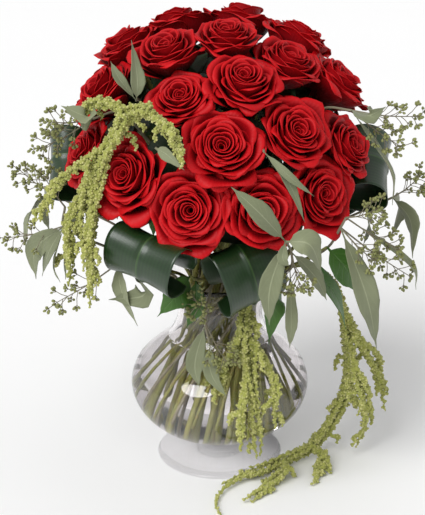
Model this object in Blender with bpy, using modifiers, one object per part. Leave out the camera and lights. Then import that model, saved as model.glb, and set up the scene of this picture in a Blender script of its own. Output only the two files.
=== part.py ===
"""Red roses with seeded eucalyptus, hanging amaranthus, aspidistra loops and salal, in a footed glass vase.

Metres, +Z up, and the front is -Y. The origin is the centre of the vase's foot, on the table.
Every flower or sprig is one grown piece, so it is one object from its cut end to its tip.
The stems are laid as a florist lays them: all lean the same way round, in rings that never cross.
"""

import math

import bmesh
import bpy
from mathutils import Vector

# Vase: a turned glass with a disc foot, a short solid knop, a squat bowl and a flared mouth.
FOOT_RADIUS = 0.064
FOOT_EDGE = 0.0042
KNOP_RADIUS = 0.0205
BOWL_RADIUS = 0.090
BOWL_HEIGHT = 0.082
NECK_RADIUS = 0.0425
NECK_HEIGHT = 0.157
RIM_RADIUS = 0.068
VASE_HEIGHT = 0.204
GLASS = 0.003
BOWL_FLOOR = 0.0285
TURNED_SIDES = 24

# Water, up to the shoulder of the bowl.
WATER_LEVEL = 0.132
GAP = 0.0004

# Roses. The heads sit on a dome, and all face away from one point above the neck.
HEAD_RADIUS = 0.030
HEAD_DEPTH = 1.45
HEAD_CLEARANCE = 0.0008
DOME_RADII = 4.53
DOME_HEIGHT = 0.305
FOCUS_DROP = 0.035
STEM_RADIUS = 0.0027
SPIRAL_TURN = 62.0
CUT_HEIGHT = 0.043

# Foliage.
SPRIG_RADIUS = 0.0016
LEAF_THICKNESS = 0.0009
LEAF_STEP = 0.0016
BLADE_THICKNESS = 0.0012
BLADE_HALF_WIDTH = 0.038
ROPE_RADIUS = 0.0055

DOME_RADIUS = HEAD_RADIUS * DOME_RADII
FOCUS = Vector((0, 0, DOME_HEIGHT - FOCUS_DROP))
NECK_BORE = NECK_RADIUS - GLASS
# The foliage is drawn round a dome and bowl of these sizes, and spreads with them.
DRAWN_DOME_RADIUS = 0.1359
DRAWN_DOME_HEIGHT = 0.305
DRAWN_BOWL_RADIUS = 0.090
SPREAD = max(DOME_RADIUS / DRAWN_DOME_RADIUS, BOWL_RADIUS / DRAWN_BOWL_RADIUS)

# Each rose: its place round the dome and up it, in degrees, its head's size and how far out it stands.
# 0 is the front and +90 the right.
ROSES = [
    (15, 3, 1.02, 1.0), (-11, 5, 1.04, 1.0), (-37, 12, 1.05, 1.0), (41, 8, 1.00, 1.0), (62, 18, 0.90, 1.0),
    (-69, 14, 0.92, 1.0), (112, 4, 1.00, 1.0), (138, 6, 1.02, 1.0), (164, 4, 1.00, 1.0), (-170, 6, 1.02, 1.0),
    (-144, 4, 1.00, 1.0), (-118, 5, 1.00, 1.0), (2, 27, 1.08, 1.02), (31, 31, 1.04, 1.0),
    (87, 41, 1.02, 1.04), (-78, 41, 1.04, 1.05), (-18, 46, 0.90, 1.0), (15, 50, 1.04, 1.0),
    (54, 58, 0.98, 1.0), (-102, 53, 0.92, 1.10),
    (4, 73, 0.94, 1.04), (-39, 62, 0.96, 1.06), (118, 57, 1.00, 1.08), (164, 66, 1.02, 1.08),
    (-128, 63, 1.04, 1.08), (118, 31, 1.02, 1.0), (150, 33, 1.06, 1.0), (-174, 35, 1.04, 1.0),
    (-142, 33, 1.02, 1.0), (-110, 37, 1.00, 1.02),
]
# Pieces that come out between the heads: place round and up the dome, and the room they need.
THREADED = {
    "amaranthus_left": (-24, 33, 0.0080), "eucalyptus_top": (-47, 42, 0.0034),
    "eucalyptus_mid": (-20, 21, 0.0030),
    "eucalyptus_left_high": (-57, 35, 0.0034), "eucalyptus_centre": (16, 26, 0.0030),
    "eucalyptus_right_high": (59, 36, 0.0034),
}
# Collar pieces, which leave the mouth under the heads, by the side that they leave on, in degrees.
COLLAR = {
    "aspidistra_loop_left": -88, "eucalyptus_left_low": -57, "eucalyptus_front_left": -44,
    "aspidistra_loop_front_left": -26, "salal_front": -15, "eucalyptus_front_low": -5,
    "aspidistra_loop_front_right": 10, "amaranthus_front": 17, "eucalyptus_front": 28, "salal_right": 38,
    "eucalyptus_right_low": 49, "amaranthus_right": 60, "aspidistra_loop_right": 84,
    "eucalyptus_side_right": 98, "aspidistra_loop_back_right": 132, "eucalyptus_back": 174,
    "salal_back": -157, "aspidistra_loop_back_left": -132, "eucalyptus_side_left": -102,
}
RING_SIZES = (7, 12)
RING_RADII = (0.215, 0.48, 0.735)
RING_ENDS = (0.020, 0.038, 0.055)
COLLAR_RADIUS = 0.92
COLLAR_END = 0.066
COLLAR_END_HEIGHT = 0.062

# Leaves of a sprig: which waypoint of its stem they grow from, the middle and tip, half their width,
# and how far they turn about their length. Places are (degrees round, distance out, height) in mm.
SPRIGS = {
    "eucalyptus_left_low": {
        "stem": [(-56, 112, 244), (-57, 150, 266), (-56, 174, 284), (-55, 174, 304)],
        "leaves": [
            (2, (-66, 190, 254), (-67, 190, 222), 11, -10), (2, (-60, 184, 257), (-67, 184, 224), 8, 10),
            (2, (-57, 184, 248), (-55, 182, 231), 5, 20), (1, (-59, 166, 250), (-59, 170, 227), 7, 0),
        ],
        "seeds": [(2, (-74, 208, 258)), (3, (-62, 184, 330))],
    },
    "eucalyptus_left_high": {
        "stem": [(-54, 144, 383)],
        "leaves": [(0, (-48, 160, 391), (-53, 178, 402), 12, 20)],
        "seeds": [(0, (-53, 190, 389)), (0, (-58, 190, 361))],
    },
    "eucalyptus_front_left": {
        "stem": [(-44, 98, 232), (-45, 122, 243), (-43, 138, 249)],
        "leaves": [
            (2, (-39, 146, 228), (-34, 138, 191), 9, 10), (1, (-30, 138, 226), (-44, 150, 215), 13, 20),
        ],
        "seeds": [(2, (-57, 182, 209))],
    },
    "eucalyptus_front_low": {
        "stem": [(-5, 84, 224), (-6, 106, 212), (-7, 112, 192), (-5, 116, 174)],
        "leaves": [
            (2, (-12, 114, 152), (-10, 113, 126), 9, 15), (3, (-4, 122, 146), (3, 125, 122), 7, -10),
        ],
        "seeds": [(1, (-10, 122, 216)), (2, (2, 128, 162))],
    },
    "eucalyptus_front": {
        "stem": [(28, 97, 229), (29, 132, 249), (24, 156, 276), (20, 168, 292)],
        "leaves": [
            (3, (11, 176, 324), (3, 170, 347), 10, 0), (3, (26, 180, 290), (31, 176, 258), 13, -10),
            (3, (15, 170, 250), (16, 160, 209), 10, 12), (3, (18, 177, 280), (20, 178, 272), 5, 0),
            (2, (33, 158, 248), (39, 156, 220), 9, -15), (1, (27, 144, 202), (28, 138, 172), 6, 0),
        ],
        "seeds": [(2, (24, 174, 250))],
    },
    "eucalyptus_right_low": {
        "stem": [(48, 102, 236), (46, 138, 262), (43, 160, 290), (44, 164, 300)],
        "leaves": [(2, (48, 181, 225), (58, 176, 158), 12, 0), (3, (70, 192, 236), (76, 196, 200), 3, 0)],
        "seeds": [(3, (50, 184, 308)), (3, (60, 190, 262)), (2, (70, 192, 222)), (2, (50, 184, 258))],
    },
    "eucalyptus_right_high": {
        "stem": [(56, 144, 390)],
        "leaves": [(0, (51, 168, 392), (53, 184, 402), 10, 30), (0, (58, 182, 338), (58, 186, 305), 9, -10)],
        "seeds": [(0, (64, 198, 386)), (0, (57, 192, 364))],
    },
    "eucalyptus_side_right": {
        "stem": [(98, 104, 240), (98, 146, 258), (96, 172, 272)],
        "leaves": [
            (2, (104, 188, 252), (110, 188, 212), 12, 10), (2, (90, 188, 254), (84, 190, 222), 11, -10),
            (1, (108, 160, 236), (112, 160, 206), 12, 0),
        ],
        "seeds": [(2, (98, 200, 290))],
    },
    "eucalyptus_side_left": {
        "stem": [(-102, 104, 240), (-102, 146, 258), (-100, 172, 274)],
        "leaves": [
            (2, (-108, 188, 254), (-112, 190, 216), 12, 10), (2, (-92, 188, 256), (-86, 192, 226), 11, -10),
            (1, (-112, 160, 238), (-116, 160, 206), 12, 0),
        ],
        "seeds": [(2, (-102, 204, 292))],
    },
    "eucalyptus_back": {
        "stem": [(174, 104, 242), (174, 148, 262), (172, 168, 282)],
        "leaves": [
            (1, (188, 160, 240), (196, 162, 206), 13, 10), (2, (164, 180, 258), (158, 178, 222), 13, -10),
            (2, (184, 180, 300), (192, 176, 318), 11, 0),
        ],
        "seeds": [(2, (168, 196, 300))],
    },
    "salal_front": {
        "stem": [(-15, 88, 226), (-15, 108, 238)],
        "leaves": [
            (1, (-19, 128, 224), (-25, 138, 205), 14, -20), (0, (-13, 104, 206), (-17, 110, 184), 11, 0),
        ],
        "seeds": [],
    },
    "salal_right": {
        "stem": [(38, 92, 230), (40, 126, 252), (42, 146, 268)],
        "leaves": [
            (0, (27, 112, 206), (24, 112, 166), 14, 10), (2, (50, 156, 240), (59, 158, 206), 14, 0),
            (1, (54, 136, 206), (62, 138, 166), 9, -10),
        ],
        "seeds": [],
    },
    "salal_back": {
        "stem": [(-156, 88, 226), (-158, 116, 240), (-160, 134, 246)],
        "leaves": [
            (2, (-154, 150, 224), (-151, 148, 184), 17, 10), (1, (-169, 142, 222), (-175, 138, 182), 16, -10),
        ],
        "seeds": [],
    },
    "eucalyptus_top": {
        "stem": [(-40, 118, 402)],
        "leaves": [(0, (-42, 112, 422), (-58, 96, 448), 7, 60), (0, (-51, 118, 418), (-60, 116, 430), 5, 20)],
        "seeds": [],
    },
    "eucalyptus_mid": {
        "stem": [(-24, 142, 370)],
        "leaves": [(0, (-18, 150, 367), (-12, 154, 356), 6, 30)],
        "seeds": [],
    },
    "eucalyptus_centre": {
        "stem": [(15, 146, 370)],
        "leaves": [(0, (21, 166, 352), (29, 170, 331), 4, 30), (0, (22, 162, 342), (26, 170, 308), 5, -20)],
        "seeds": [],
    },
}
# Amaranthus ropes: the main rope's waypoints and size, then tassels as (waypoint, points, size).
AMARANTHUS = {
    "amaranthus_left": {
        "rope": [
            (-27, 134, 399), (-36, 136, 394), (-42, 148, 368), (-46, 158, 338), (-48, 164, 300),
            (-49, 165, 262), (-48, 164, 208),
        ],
        "size": 1.5,
        "tassels": [
            (4, [(-54, 174, 270), (-55, 172, 222)], 1.1), (4, [(-43, 174, 276), (-43, 172, 224)], 1.2),
            (1, [(-42, 142, 404), (-49, 152, 402)], 0.9), (0, [(-20, 146, 392), (-14, 150, 376)], 0.9),
            (3, [(-51, 178, 334), (-56, 196, 316)], 0.8), (0, [(-28, 152, 384), (-29, 156, 372)], 0.9),
        ],
    },
    "amaranthus_front": {
        "rope": [(16, 92, 219), (13, 107, 204), (13, 114, 165), (15, 117, 124), (17, 114, 84), (20, 110, 44)],
        "size": 1.25,
        "tassels": [
            (2, [(4, 111, 148), (-1, 108, 113)], 0.8), (2, [(25, 120, 130), (28, 116, 86)], 0.9),
            (3, [(10, 122, 104), (10, 118, 72)], 1.0),
        ],
    },
    "amaranthus_right": {
        "rope": [
            (61, 96, 226), (62, 122, 212), (70, 128, 176), (77, 130, 139), (82, 132, 104), (85, 127, 70),
            (85, 114, 38), (78, 96, 15), (58, 77, 12), (36, 74, 12), (16, 76, 12), (2, 92, 7), (-2, 116, 6),
            (0, 139, 5),
        ],
        "size": 1.1,
        "tassels": [
            (3, [(80, 150, 112), (86, 166, 76), (88, 170, 48)], 0.9), (5, [(86, 146, 52), (84, 136, 20)], 0.9),
            (6, [(72, 112, 11), (58, 110, 7), (48, 120, 6)], 0.9),
            (8, [(44, 92, 8), (24, 98, 7), (10, 118, 5)], 0.9),
        ],
    },
}
# Aspidistra loops: height of the fold's middle, its radius, its reach from the axis, its width, how
# far it is rolled about its reach, in degrees (0 lies along the collar and 90 stands upright), how
# much of its inner end is left, how far it is turned about the upright, and how tall its fold is.
LOOPS = {
    "aspidistra_loop_left": (0.314, 0.018, 0.146, 0.84, 40, 0.15, 0, 1.0),
    "aspidistra_loop_front_left": (0.264, 0.019, 0.145, 1.0, 9, 1.0, -11, 1.15),
    "aspidistra_loop_front_right": (0.246, 0.0215, 0.124, 0.80, -14, 1.0, 18, 1.35),
    "aspidistra_loop_right": (0.312, 0.022, 0.140, 0.92, -36, 0.15, 0, 1.0),
    "aspidistra_loop_back_right": (0.258, 0.021, 0.146, 1.0, 0, 1.0, 0, 1.0),
    "aspidistra_loop_back_left": (0.258, 0.021, 0.146, 1.0, 0, 1.0, 0, 1.0),
}


def polar(degrees, radius, height):
    """A point by its direction round the axis (0 is the front, +90 the right), distance out and height."""
    turn = math.radians(degrees)
    return Vector((radius * math.sin(turn), -radius * math.cos(turn), height))


def placed(place):
    """A drawn place in millimetres, spread to the real dome and bowl, in metres."""
    degrees, radius, height = place[0], place[1] / 1000 * SPREAD, place[2] / 1000
    if height <= DRAWN_DOME_HEIGHT:
        return polar(degrees, radius, height * DOME_HEIGHT / DRAWN_DOME_HEIGHT)
    return polar(degrees, radius, DOME_HEIGHT + (height - DRAWN_DOME_HEIGHT) * SPREAD)


def smooth(points, steps):
    """Points along a smooth curve through the given ones, with so many steps from one to the next."""
    ends = [points[0] * 2 - points[1], *points, points[-1] * 2 - points[-2]]
    curve = []
    for a, b, c, d in zip(ends, ends[1:], ends[2:], ends[3:]):
        for i in range(steps):
            t = i / steps
            curve.append(0.5 * (2 * b + (c - a) * t + (2 * a - 5 * b + 4 * c - d) * t**2
                                + (3 * b - a - 3 * c + d) * t**3))
    return [*curve, points[-1]]


def finish(name, colour, roughness, alpha=1.0):
    """A plain material of that colour."""
    made = bpy.data.materials.new(name)
    made.use_nodes = True
    shader = made.node_tree.nodes["Principled BSDF"]
    shader.inputs["Base Color"].default_value = (*colour, 1)
    shader.inputs["Roughness"].default_value = roughness
    shader.inputs["Alpha"].default_value = alpha
    return made


def add(name, data, material):
    made = bpy.data.objects.new(name, data)
    data.materials.append(material)
    bouquet.objects.link(made)
    return made


def tube(name, points, radii, material, sides=8):
    """A round stem along the points, as a curve whose points carry their own radius."""
    curve = bpy.data.curves.new(name, "CURVE")
    curve.dimensions = "3D"
    curve.bevel_depth = 1.0
    curve.bevel_resolution = sides // 2 - 2
    curve.use_fill_caps = True
    spline = curve.splines.new("POLY")
    spline.points.add(len(points) - 1)
    for at, point, radius in zip(spline.points, points, radii):
        at.co = (*point, 1)
        at.radius = radius
    return add(name, curve, material)


def as_mesh(curve_object):
    """The curve made a closed mesh, with its caps welded."""
    graph = bpy.context.evaluated_depsgraph_get()
    mesh = bpy.data.meshes.new_from_object(curve_object.evaluated_get(graph))
    body = bmesh.new()
    body.from_mesh(mesh)
    bmesh.ops.remove_doubles(body, verts=body.verts, dist=1e-6)
    bmesh.ops.recalc_face_normals(body, faces=body.faces)
    body.to_mesh(mesh)
    body.free()
    name, material = curve_object.name, curve_object.data.materials[0]
    bpy.data.objects.remove(curve_object)
    mesh.materials.clear()
    return add(name, mesh, material)


def blade(name, midrib, half_widths, facing, fold, thickness, material):
    """A leaf blade: a strip along its midrib, folded a little along it, with a real thickness."""
    body = bmesh.new()
    rows = []
    for i, (point, half) in enumerate(zip(midrib, half_widths)):
        along = midrib[min(i + 1, len(midrib) - 1)] - midrib[max(i - 1, 0)]
        side = along.cross(facing[i]).normalized()
        up = side.cross(along).normalized()
        rows.append([body.verts.new(point + side * half * s + up * half * fold * abs(s)) for s in (-1, 0, 1)])
    for low, high in zip(rows, rows[1:]):
        for j in (0, 1):
            body.faces.new((low[j], low[j + 1], high[j + 1], high[j]))
    mesh = bpy.data.meshes.new(name)
    body.to_mesh(mesh)
    body.free()
    made = add(name, mesh, material)
    wall = made.modifiers.new("thickness", "SOLIDIFY")
    wall.thickness = thickness
    wall.offset = 0
    return solid_of(made)


def solid_of(made):
    """The object with its modifiers applied, as a new mesh with faces pointing out."""
    graph = bpy.context.evaluated_depsgraph_get()
    mesh = bpy.data.meshes.new_from_object(made.evaluated_get(graph))
    body = bmesh.new()
    body.from_mesh(mesh)
    bmesh.ops.recalc_face_normals(body, faces=body.faces)
    body.to_mesh(mesh)
    body.free()
    made.modifiers.clear()
    made.data = mesh
    return made


def fused(name, pieces):
    """One grown body from overlapping pieces, joined by Boolean unions."""
    whole = pieces[0]
    whole.name = name
    for piece in pieces[1:]:
        union = whole.modifiers.new("union", "BOOLEAN")
        union.operation = "UNION"
        union.solver = "MANIFOLD"
        union.object = piece
    bpy.context.view_layer.update()
    solid_of(whole)
    for piece in pieces[1:]:
        bpy.data.objects.remove(piece)
    return whole


def turned(name, profile, material):
    """A turned body from its profile, given as (radius, height) pairs, top to bottom down the outside."""
    mesh = bpy.data.meshes.new(name)
    points = [(radius, 0, height) for radius, height in profile]
    mesh.from_pydata(points, [(i, i + 1) for i in range(len(points) - 1)], [])
    made = add(name, mesh, material)
    screw = made.modifiers.new("turn", "SCREW")
    screw.steps = screw.render_steps = TURNED_SIDES
    screw.use_merge_vertices = True
    screw.merge_threshold = 0.00001
    return made


def vase_wall():
    """The outside of the bowl and mouth as (radius, height) points, from the knop up to the rim."""
    span = BOWL_HEIGHT - 0.020
    rise = NECK_HEIGHT - BOWL_HEIGHT
    flare = VASE_HEIGHT - NECK_HEIGHT
    drawn = [
        (KNOP_RADIUS * 1.18, BOWL_HEIGHT - span), (BOWL_RADIUS * 0.46, BOWL_HEIGHT - span * 0.88),
        (BOWL_RADIUS * 0.74, BOWL_HEIGHT - span * 0.66), (BOWL_RADIUS * 0.93, BOWL_HEIGHT - span * 0.36),
        (BOWL_RADIUS, BOWL_HEIGHT), (BOWL_RADIUS * 0.93, BOWL_HEIGHT + rise * 0.29),
        (BOWL_RADIUS * 0.76, BOWL_HEIGHT + rise * 0.51), (BOWL_RADIUS * 0.585, BOWL_HEIGHT + rise * 0.68),
        (NECK_RADIUS * 1.065, BOWL_HEIGHT + rise * 0.85), (NECK_RADIUS, NECK_HEIGHT),
        (NECK_RADIUS + (RIM_RADIUS - NECK_RADIUS) * 0.10, NECK_HEIGHT + flare * 0.3),
        (NECK_RADIUS + (RIM_RADIUS - NECK_RADIUS) * 0.42, NECK_HEIGHT + flare * 0.66),
        (RIM_RADIUS, VASE_HEIGHT),
    ]
    return [Vector(p) for p in drawn]


def inset(wall, depth):
    """The wall moved inwards along its own normals by that depth."""
    moved = []
    for i, point in enumerate(wall):
        along = (wall[min(i + 1, len(wall) - 1)] - wall[max(i - 1, 0)]).normalized()
        moved.append(point + Vector((-along.y, along.x)) * depth)
    return moved


def inner_radius(height, depth=GLASS):
    """The radius of the vase's bore at a height."""
    wall = inset(smooth(vase_wall(), 4), depth)
    for low, high in zip(wall, wall[1:]):
        if low.y <= height <= high.y:
            return low.x + (high.x - low.x) * (height - low.y) / (high.y - low.y)
    return wall[-1].x


def bore(depth, top):
    """The inside of the bowl as (radius, height) points from its floor up to a height."""
    floor = BOWL_FLOOR + depth - GLASS
    wall = [p for p in inset(vase_wall(), depth) if floor + 0.002 < p.y < top]
    return [(0, floor), (inner_radius(floor + 0.001, depth) * 0.8, floor), *[(p.x, p.y) for p in wall]]


def make_vase():
    outside = [(p.x, p.y) for p in reversed(vase_wall())]
    foot = [
        (KNOP_RADIUS, 0.0145), (KNOP_RADIUS * 1.06, 0.0108), (FOOT_RADIUS * 0.47, 0.0084),
        (FOOT_RADIUS * 0.96, FOOT_EDGE),
        (FOOT_RADIUS, FOOT_EDGE * 0.62), (FOOT_RADIUS * 0.985, 0.0), (0, 0.0),
    ]
    lip = [(RIM_RADIUS - GLASS * 0.85, VASE_HEIGHT - 0.0004), (RIM_RADIUS - GLASS * 0.4, VASE_HEIGHT + 0.0008)]
    inside = bore(GLASS, VASE_HEIGHT - 0.002)
    turned("vase", [*inside, *lip, *outside, *foot], glass)


def ring_of(rank):
    """Which ring of the spiral the stem of that rank is in, counted from the middle out."""
    first, second = RING_SIZES
    return (rank >= first) + (rank >= first + second)


def settled():
    """The heads' and threaded pieces' places, pushed apart until none touch, the front ones least."""
    seats = [(f"rose_{i + 1:02d}", *rose[:2], HEAD_RADIUS * rose[2], rose[3]) for i, rose in enumerate(ROSES)]
    seats += [(name, *seat, 1.0) for name, seat in THREADED.items()]
    at = [polar(around, math.cos(math.radians(up)), math.sin(math.radians(up))) * reach * DOME_RADIUS
          for _, around, up, _, reach in seats]
    for _ in range(500):
        for i in range(len(at)):
            for j in range(i):
                apart = at[i] - at[j]
                lack = seats[i][3] + seats[j][3] + HEAD_CLEARANCE - apart.length
                if lack > 0:
                    ease = [1.25 + at[k].y / at[k].length for k in (i, j)]
                    push = apart.normalized() * lack / sum(ease)
                    at[i] = (at[i] + push * ease[0]).normalized() * at[i].length
                    at[j] = (at[j] - push * ease[1]).normalized() * at[j].length
    centre = Vector((0, 0, DOME_HEIGHT))
    return {seat[0]: (centre + place, seat[3]) for seat, place in zip(seats, at)}


def slots(sides):
    """Each name's even slot round a ring, in degrees, keeping the order of the sides they leave on."""
    order = sorted(sides, key=lambda name: sides[name] % 360)
    step = 360 / len(order)
    shift = sum((sides[n] % 360) - i * step for i, n in enumerate(order)) / len(order)
    return {name: shift + i * step for i, name in enumerate(order)}


def spiral_foot(slot, ring_radius, end_radius, end_height):
    """Where a straight stem is cut, and where it passes the neck, for its slot in a ring."""
    neck = polar(slot - SPIRAL_TURN, ring_radius, NECK_HEIGHT)
    lean = math.sqrt(end_radius**2 - ring_radius**2)
    tangent = Vector((0, 0, 1)).cross(Vector((neck.x, neck.y, 0))).normalized()
    cut = Vector((neck.x, neck.y, end_height)) - tangent * lean
    return cut, neck


def arc(start, start_way, end, end_way, steps):
    """Points of a smooth bend that leaves start along start_way and reaches end along end_way."""
    first, last = start + start_way, end - end_way
    bend = []
    for i in range(1, steps + 1):
        t = i / steps
        bend.append(start * (1 - t)**3 + first * (3 * t * (1 - t)**2) + last * (3 * t**2 * (1 - t)) + end * t**3)
    return bend


def stem_to(base, facing, slot, ring):
    """A stem from its cut end, straight through the neck, then bent to arrive at base along facing."""
    cut, neck = spiral_foot(slot, NECK_BORE * RING_RADII[ring], RING_ENDS[ring], CUT_HEIGHT)
    way = (neck - cut).normalized()
    reach = (base - neck).length
    return [cut, neck, *arc(neck, way * reach * 0.36, base, facing * reach * 0.34, 5)]


def make_rose(name, centre, radius, slot, ring):
    """A rose in one piece: stem, hip and head, as one tube of changing radius."""
    facing = (centre - FOCUS).normalized()
    depth = radius * HEAD_DEPTH
    base = centre - facing * depth * 0.72
    stem = stem_to(base, facing, slot, ring)
    shares = [(0.06, 0.17), (0.26, 0.50), (0.52, 0.86), (0.76, 1.0), (0.94, 0.80), (1.0, 0.40)]
    head = [base + facing * depth * along for along, _ in shares]
    radii = [STEM_RADIUS] * len(stem) + [radius * share for _, share in shares]
    tube(name, [*stem, *head], radii, petal)


def collar_stem(name, waypoints, steps=1):
    """A collar stem: through its slot in the neck, over the vase's lip, then by its waypoints."""
    slot = COLLAR_SLOTS[name]
    cut, neck = spiral_foot(slot, NECK_BORE * COLLAR_RADIUS - SPRIG_RADIUS, COLLAR_END, COLLAR_END_HEIGHT)
    mouth = NECK_HEIGHT + (VASE_HEIGHT - NECK_HEIGHT) * 0.62
    side = COLLAR[name]
    inside = polar(slot * 0.5 + side * 0.5 - 12 if abs(slot - side) < 180 else slot - 12,
                   inner_radius(mouth) - 0.0052, mouth)
    over = polar(side, RIM_RADIUS * 0.93, VASE_HEIGHT + 0.010)
    return [cut, neck, *smooth([inside, over, *waypoints], steps)]


def threaded_stem(name, waypoints):
    """A stem that comes out between the heads, then goes on by its waypoints."""
    out, _ = SEATS[name]
    facing = (out - FOCUS).normalized()
    ring, slot = SPIRAL[name]
    inner = out - facing * HEAD_RADIUS * HEAD_DEPTH * 0.8
    return [*stem_to(inner, facing, slot, ring), out, *waypoints]


def leaf_on(name, start, middle, tip, half_width, turn, material):
    """An oval leaf from its place on the stem, by its middle, to its tip."""
    midrib = smooth([start - (middle - start).normalized() * LEAF_THICKNESS, middle, tip], 2)
    widths = [half_width * share for share in (0.12, 0.72, 1.0, 0.66, 0.06)]
    facing = []
    for i, point in enumerate(midrib):
        along = (midrib[min(i + 1, 4)] - midrib[max(i - 1, 0)]).normalized()
        out = (point - Vector((0, 0, DOME_HEIGHT * 0.85))).normalized()
        flat = (out - along * out.dot(along)).normalized()
        side = along.cross(flat)
        angle = math.radians(turn)
        facing.append(flat * math.cos(angle) + side * math.sin(angle))
    return blade(name, midrib, widths, facing, 0.12, LEAF_THICKNESS, material)


def seed_twigs(name, start, end, material):
    """A seed cluster: a twig with clubbed side twigs, each standing for a bunch of buds."""
    way = end - start
    across = way.cross(Vector((0, 0, 1))).normalized()
    over = way.cross(across).normalized()
    twig = [start, start + way * 0.5 - Vector((0, 0, 0.002)), end]
    pieces = [as_mesh(tube(name, twig, [0.0009, 0.0009, 0.0022], material, 4))]
    spread = 0.0095
    for i, (share, angle) in enumerate([(0.5, 20), (0.68, 140), (0.86, 260)]):
        turn = math.radians(angle)
        sideways = (across * math.cos(turn) + over * math.sin(turn)) * spread
        root = twig[1].lerp(end, (share - 0.5) * 2) if share > 0.5 else twig[0].lerp(twig[1], share * 2)
        tip = root + sideways + way.normalized() * spread * 0.7
        pieces.append(as_mesh(tube(f"{name}_{i}", [root, root.lerp(tip, 0.55), tip],
                                   [0.0007, 0.0008, 0.0024], material, 4)))
    return pieces


def make_sprig(name, material):
    """A leafy sprig in one piece: its stem, leaves and seed clusters."""
    plan = SPRIGS[name]
    waypoints = [placed(p) for p in plan["stem"]]
    path = collar_stem(name, waypoints) if name in COLLAR else threaded_stem(name, waypoints)
    radii = [SPRIG_RADIUS] * (len(path) - 1) + [SPRIG_RADIUS * 0.6]
    pieces = [as_mesh(tube(name, path, radii, material, 6))]
    before = [path[-len(waypoints) - 1], *waypoints]
    for i, (at, middle, tip, half, turn) in enumerate(plan["leaves"]):
        root = waypoints[at] + (before[at] - waypoints[at]).normalized() * LEAF_STEP * (i + 0.5)
        pieces.append(leaf_on(f"{name}_leaf_{i}", root, placed(middle), placed(tip),
                              half / 1000 * SPREAD, turn, material))
    for i, (at, end) in enumerate(plan["seeds"]):
        pieces += seed_twigs(f"{name}_seeds_{i}", waypoints[at], placed(end), material)
    fused(name, pieces)


def make_amaranthus(name):
    """A hanging amaranthus in one piece: a bare stem, the main rope and its tassels."""
    plan = AMARANTHUS[name]
    waypoints = [placed(p) for p in plan["rope"]]
    path = collar_stem(name, waypoints) if name in COLLAR else threaded_stem(name, waypoints)
    thick = ROPE_RADIUS * plan["size"]
    bare = len(path) - len(waypoints)
    radii = [SPRIG_RADIUS] * bare + [thick * share for share in swell(len(waypoints))]
    pieces = [as_mesh(tube(name, path, radii, rope, 6))]
    for i, (at, way, size) in enumerate(plan["tassels"]):
        points = [waypoints[at], *[placed(p) for p in way]]
        shares = [size * share for share in (0.8, 1.0, 0.8, 0.45)[:len(points)]]
        shares[-1] = size * 0.45
        pieces.append(as_mesh(tube(f"{name}_{i}", points, [ROPE_RADIUS * s for s in shares], rope, 6)))
    fused(name, pieces)


def swell(count):
    """The main rope's thickness along it: thin where it leaves, full, then tapering to the tip."""
    return [0.55, *[1.0 - 0.35 * i / count for i in range(count - 2)], 0.35]


def make_loop(name):
    """An aspidistra leaf folded out and back under itself, with its leaf stalk in the neck."""
    middle, fold, reach, width, roll, inner, turn, tall = LOOPS[name]
    side, roll = COLLAR[name], math.radians(roll)
    centre = polar(side, reach * SPREAD, middle / DRAWN_DOME_HEIGHT * DOME_HEIGHT)
    out, round_way = polar(side + turn, 1, 0), polar(side + turn + 90, 1, 0)
    up = Vector((0, 0, math.cos(roll))) + round_way * math.sin(roll)
    drawn = [
        (-2.6, -0.7), (-2.1, -0.78), (-1.55, -0.52), (-1.15, 0.05), (-0.85, 0.6), (-0.35, 0.94), (0.2, 0.99),
        (0.7, 0.72), (0.98, 0.18), (0.95, -0.4), (0.6, -0.82), (0.05, -1.0), (-0.55, -0.98), (-1.15, -0.92),
    ]
    widths = [0.08, 0.35, 0.70, 0.92, 1.0, 1.0, 1.0, 1.0, 1.0, 1.0, 0.98, 0.94, 0.88, 0.74]
    drawn = [(x if x > -0.6 else (x + 0.6) * inner - 0.6, y) for x, y in drawn]
    midrib = [centre + out * fold * x + up * fold * tall * y for x, y in drawn]
    facing = []
    for i in range(len(midrib)):
        along = midrib[min(i + 1, len(midrib) - 1)] - midrib[max(i - 1, 0)]
        facing.append(along.cross(out.cross(up)).normalized())
    strip = blade(name + "_blade", midrib, [BLADE_HALF_WIDTH * width * w for w in widths], facing,
                  0.0, BLADE_THICKNESS, dark_leaf)
    stalk_path = collar_stem(name, [midrib[0].lerp(midrib[1], 0.2)])
    radii = [SPRIG_RADIUS * 1.1] * len(stalk_path)
    fused(name, [as_mesh(tube(name, stalk_path, radii, dark_leaf, 6)), strip])


def make_water():
    """The water: it fills the bowl to the shoulder, and every stem stands in it."""
    surface = inner_radius(WATER_LEVEL, GLASS + GAP)
    below = bore(GLASS + GAP, WATER_LEVEL - 0.002)
    body = turned("water", [*below, (surface, WATER_LEVEL), (0, WATER_LEVEL)][::-1], water)
    solid_of(body)
    for cut, neck, radius in WATER_STEMS:
        room = (radius + GAP) / math.cos(math.pi / 6)
        cutter = as_mesh(tube("cutter", [cut - (neck - cut).normalized() * GAP, neck], [room] * 2, water, 6))
        bouquet.objects.unlink(cutter)
        cutters.objects.link(cutter)
        cutter.hide_render = True
        cutter.display_type = "WIRE"
    drill = body.modifiers.new("stems", "BOOLEAN")
    drill.operation = "DIFFERENCE"
    drill.operand_type = "COLLECTION"
    drill.collection = cutters
    bpy.context.view_layer.update()
    solid_of(body)


for old in list(bpy.data.objects):
    bpy.data.objects.remove(old)
bouquet = bpy.data.collections.new("roses_in_a_vase")
cutters = bpy.data.collections.new("cutters")
bpy.context.scene.collection.children.link(bouquet)
bpy.context.scene.collection.children.link(cutters)

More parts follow.
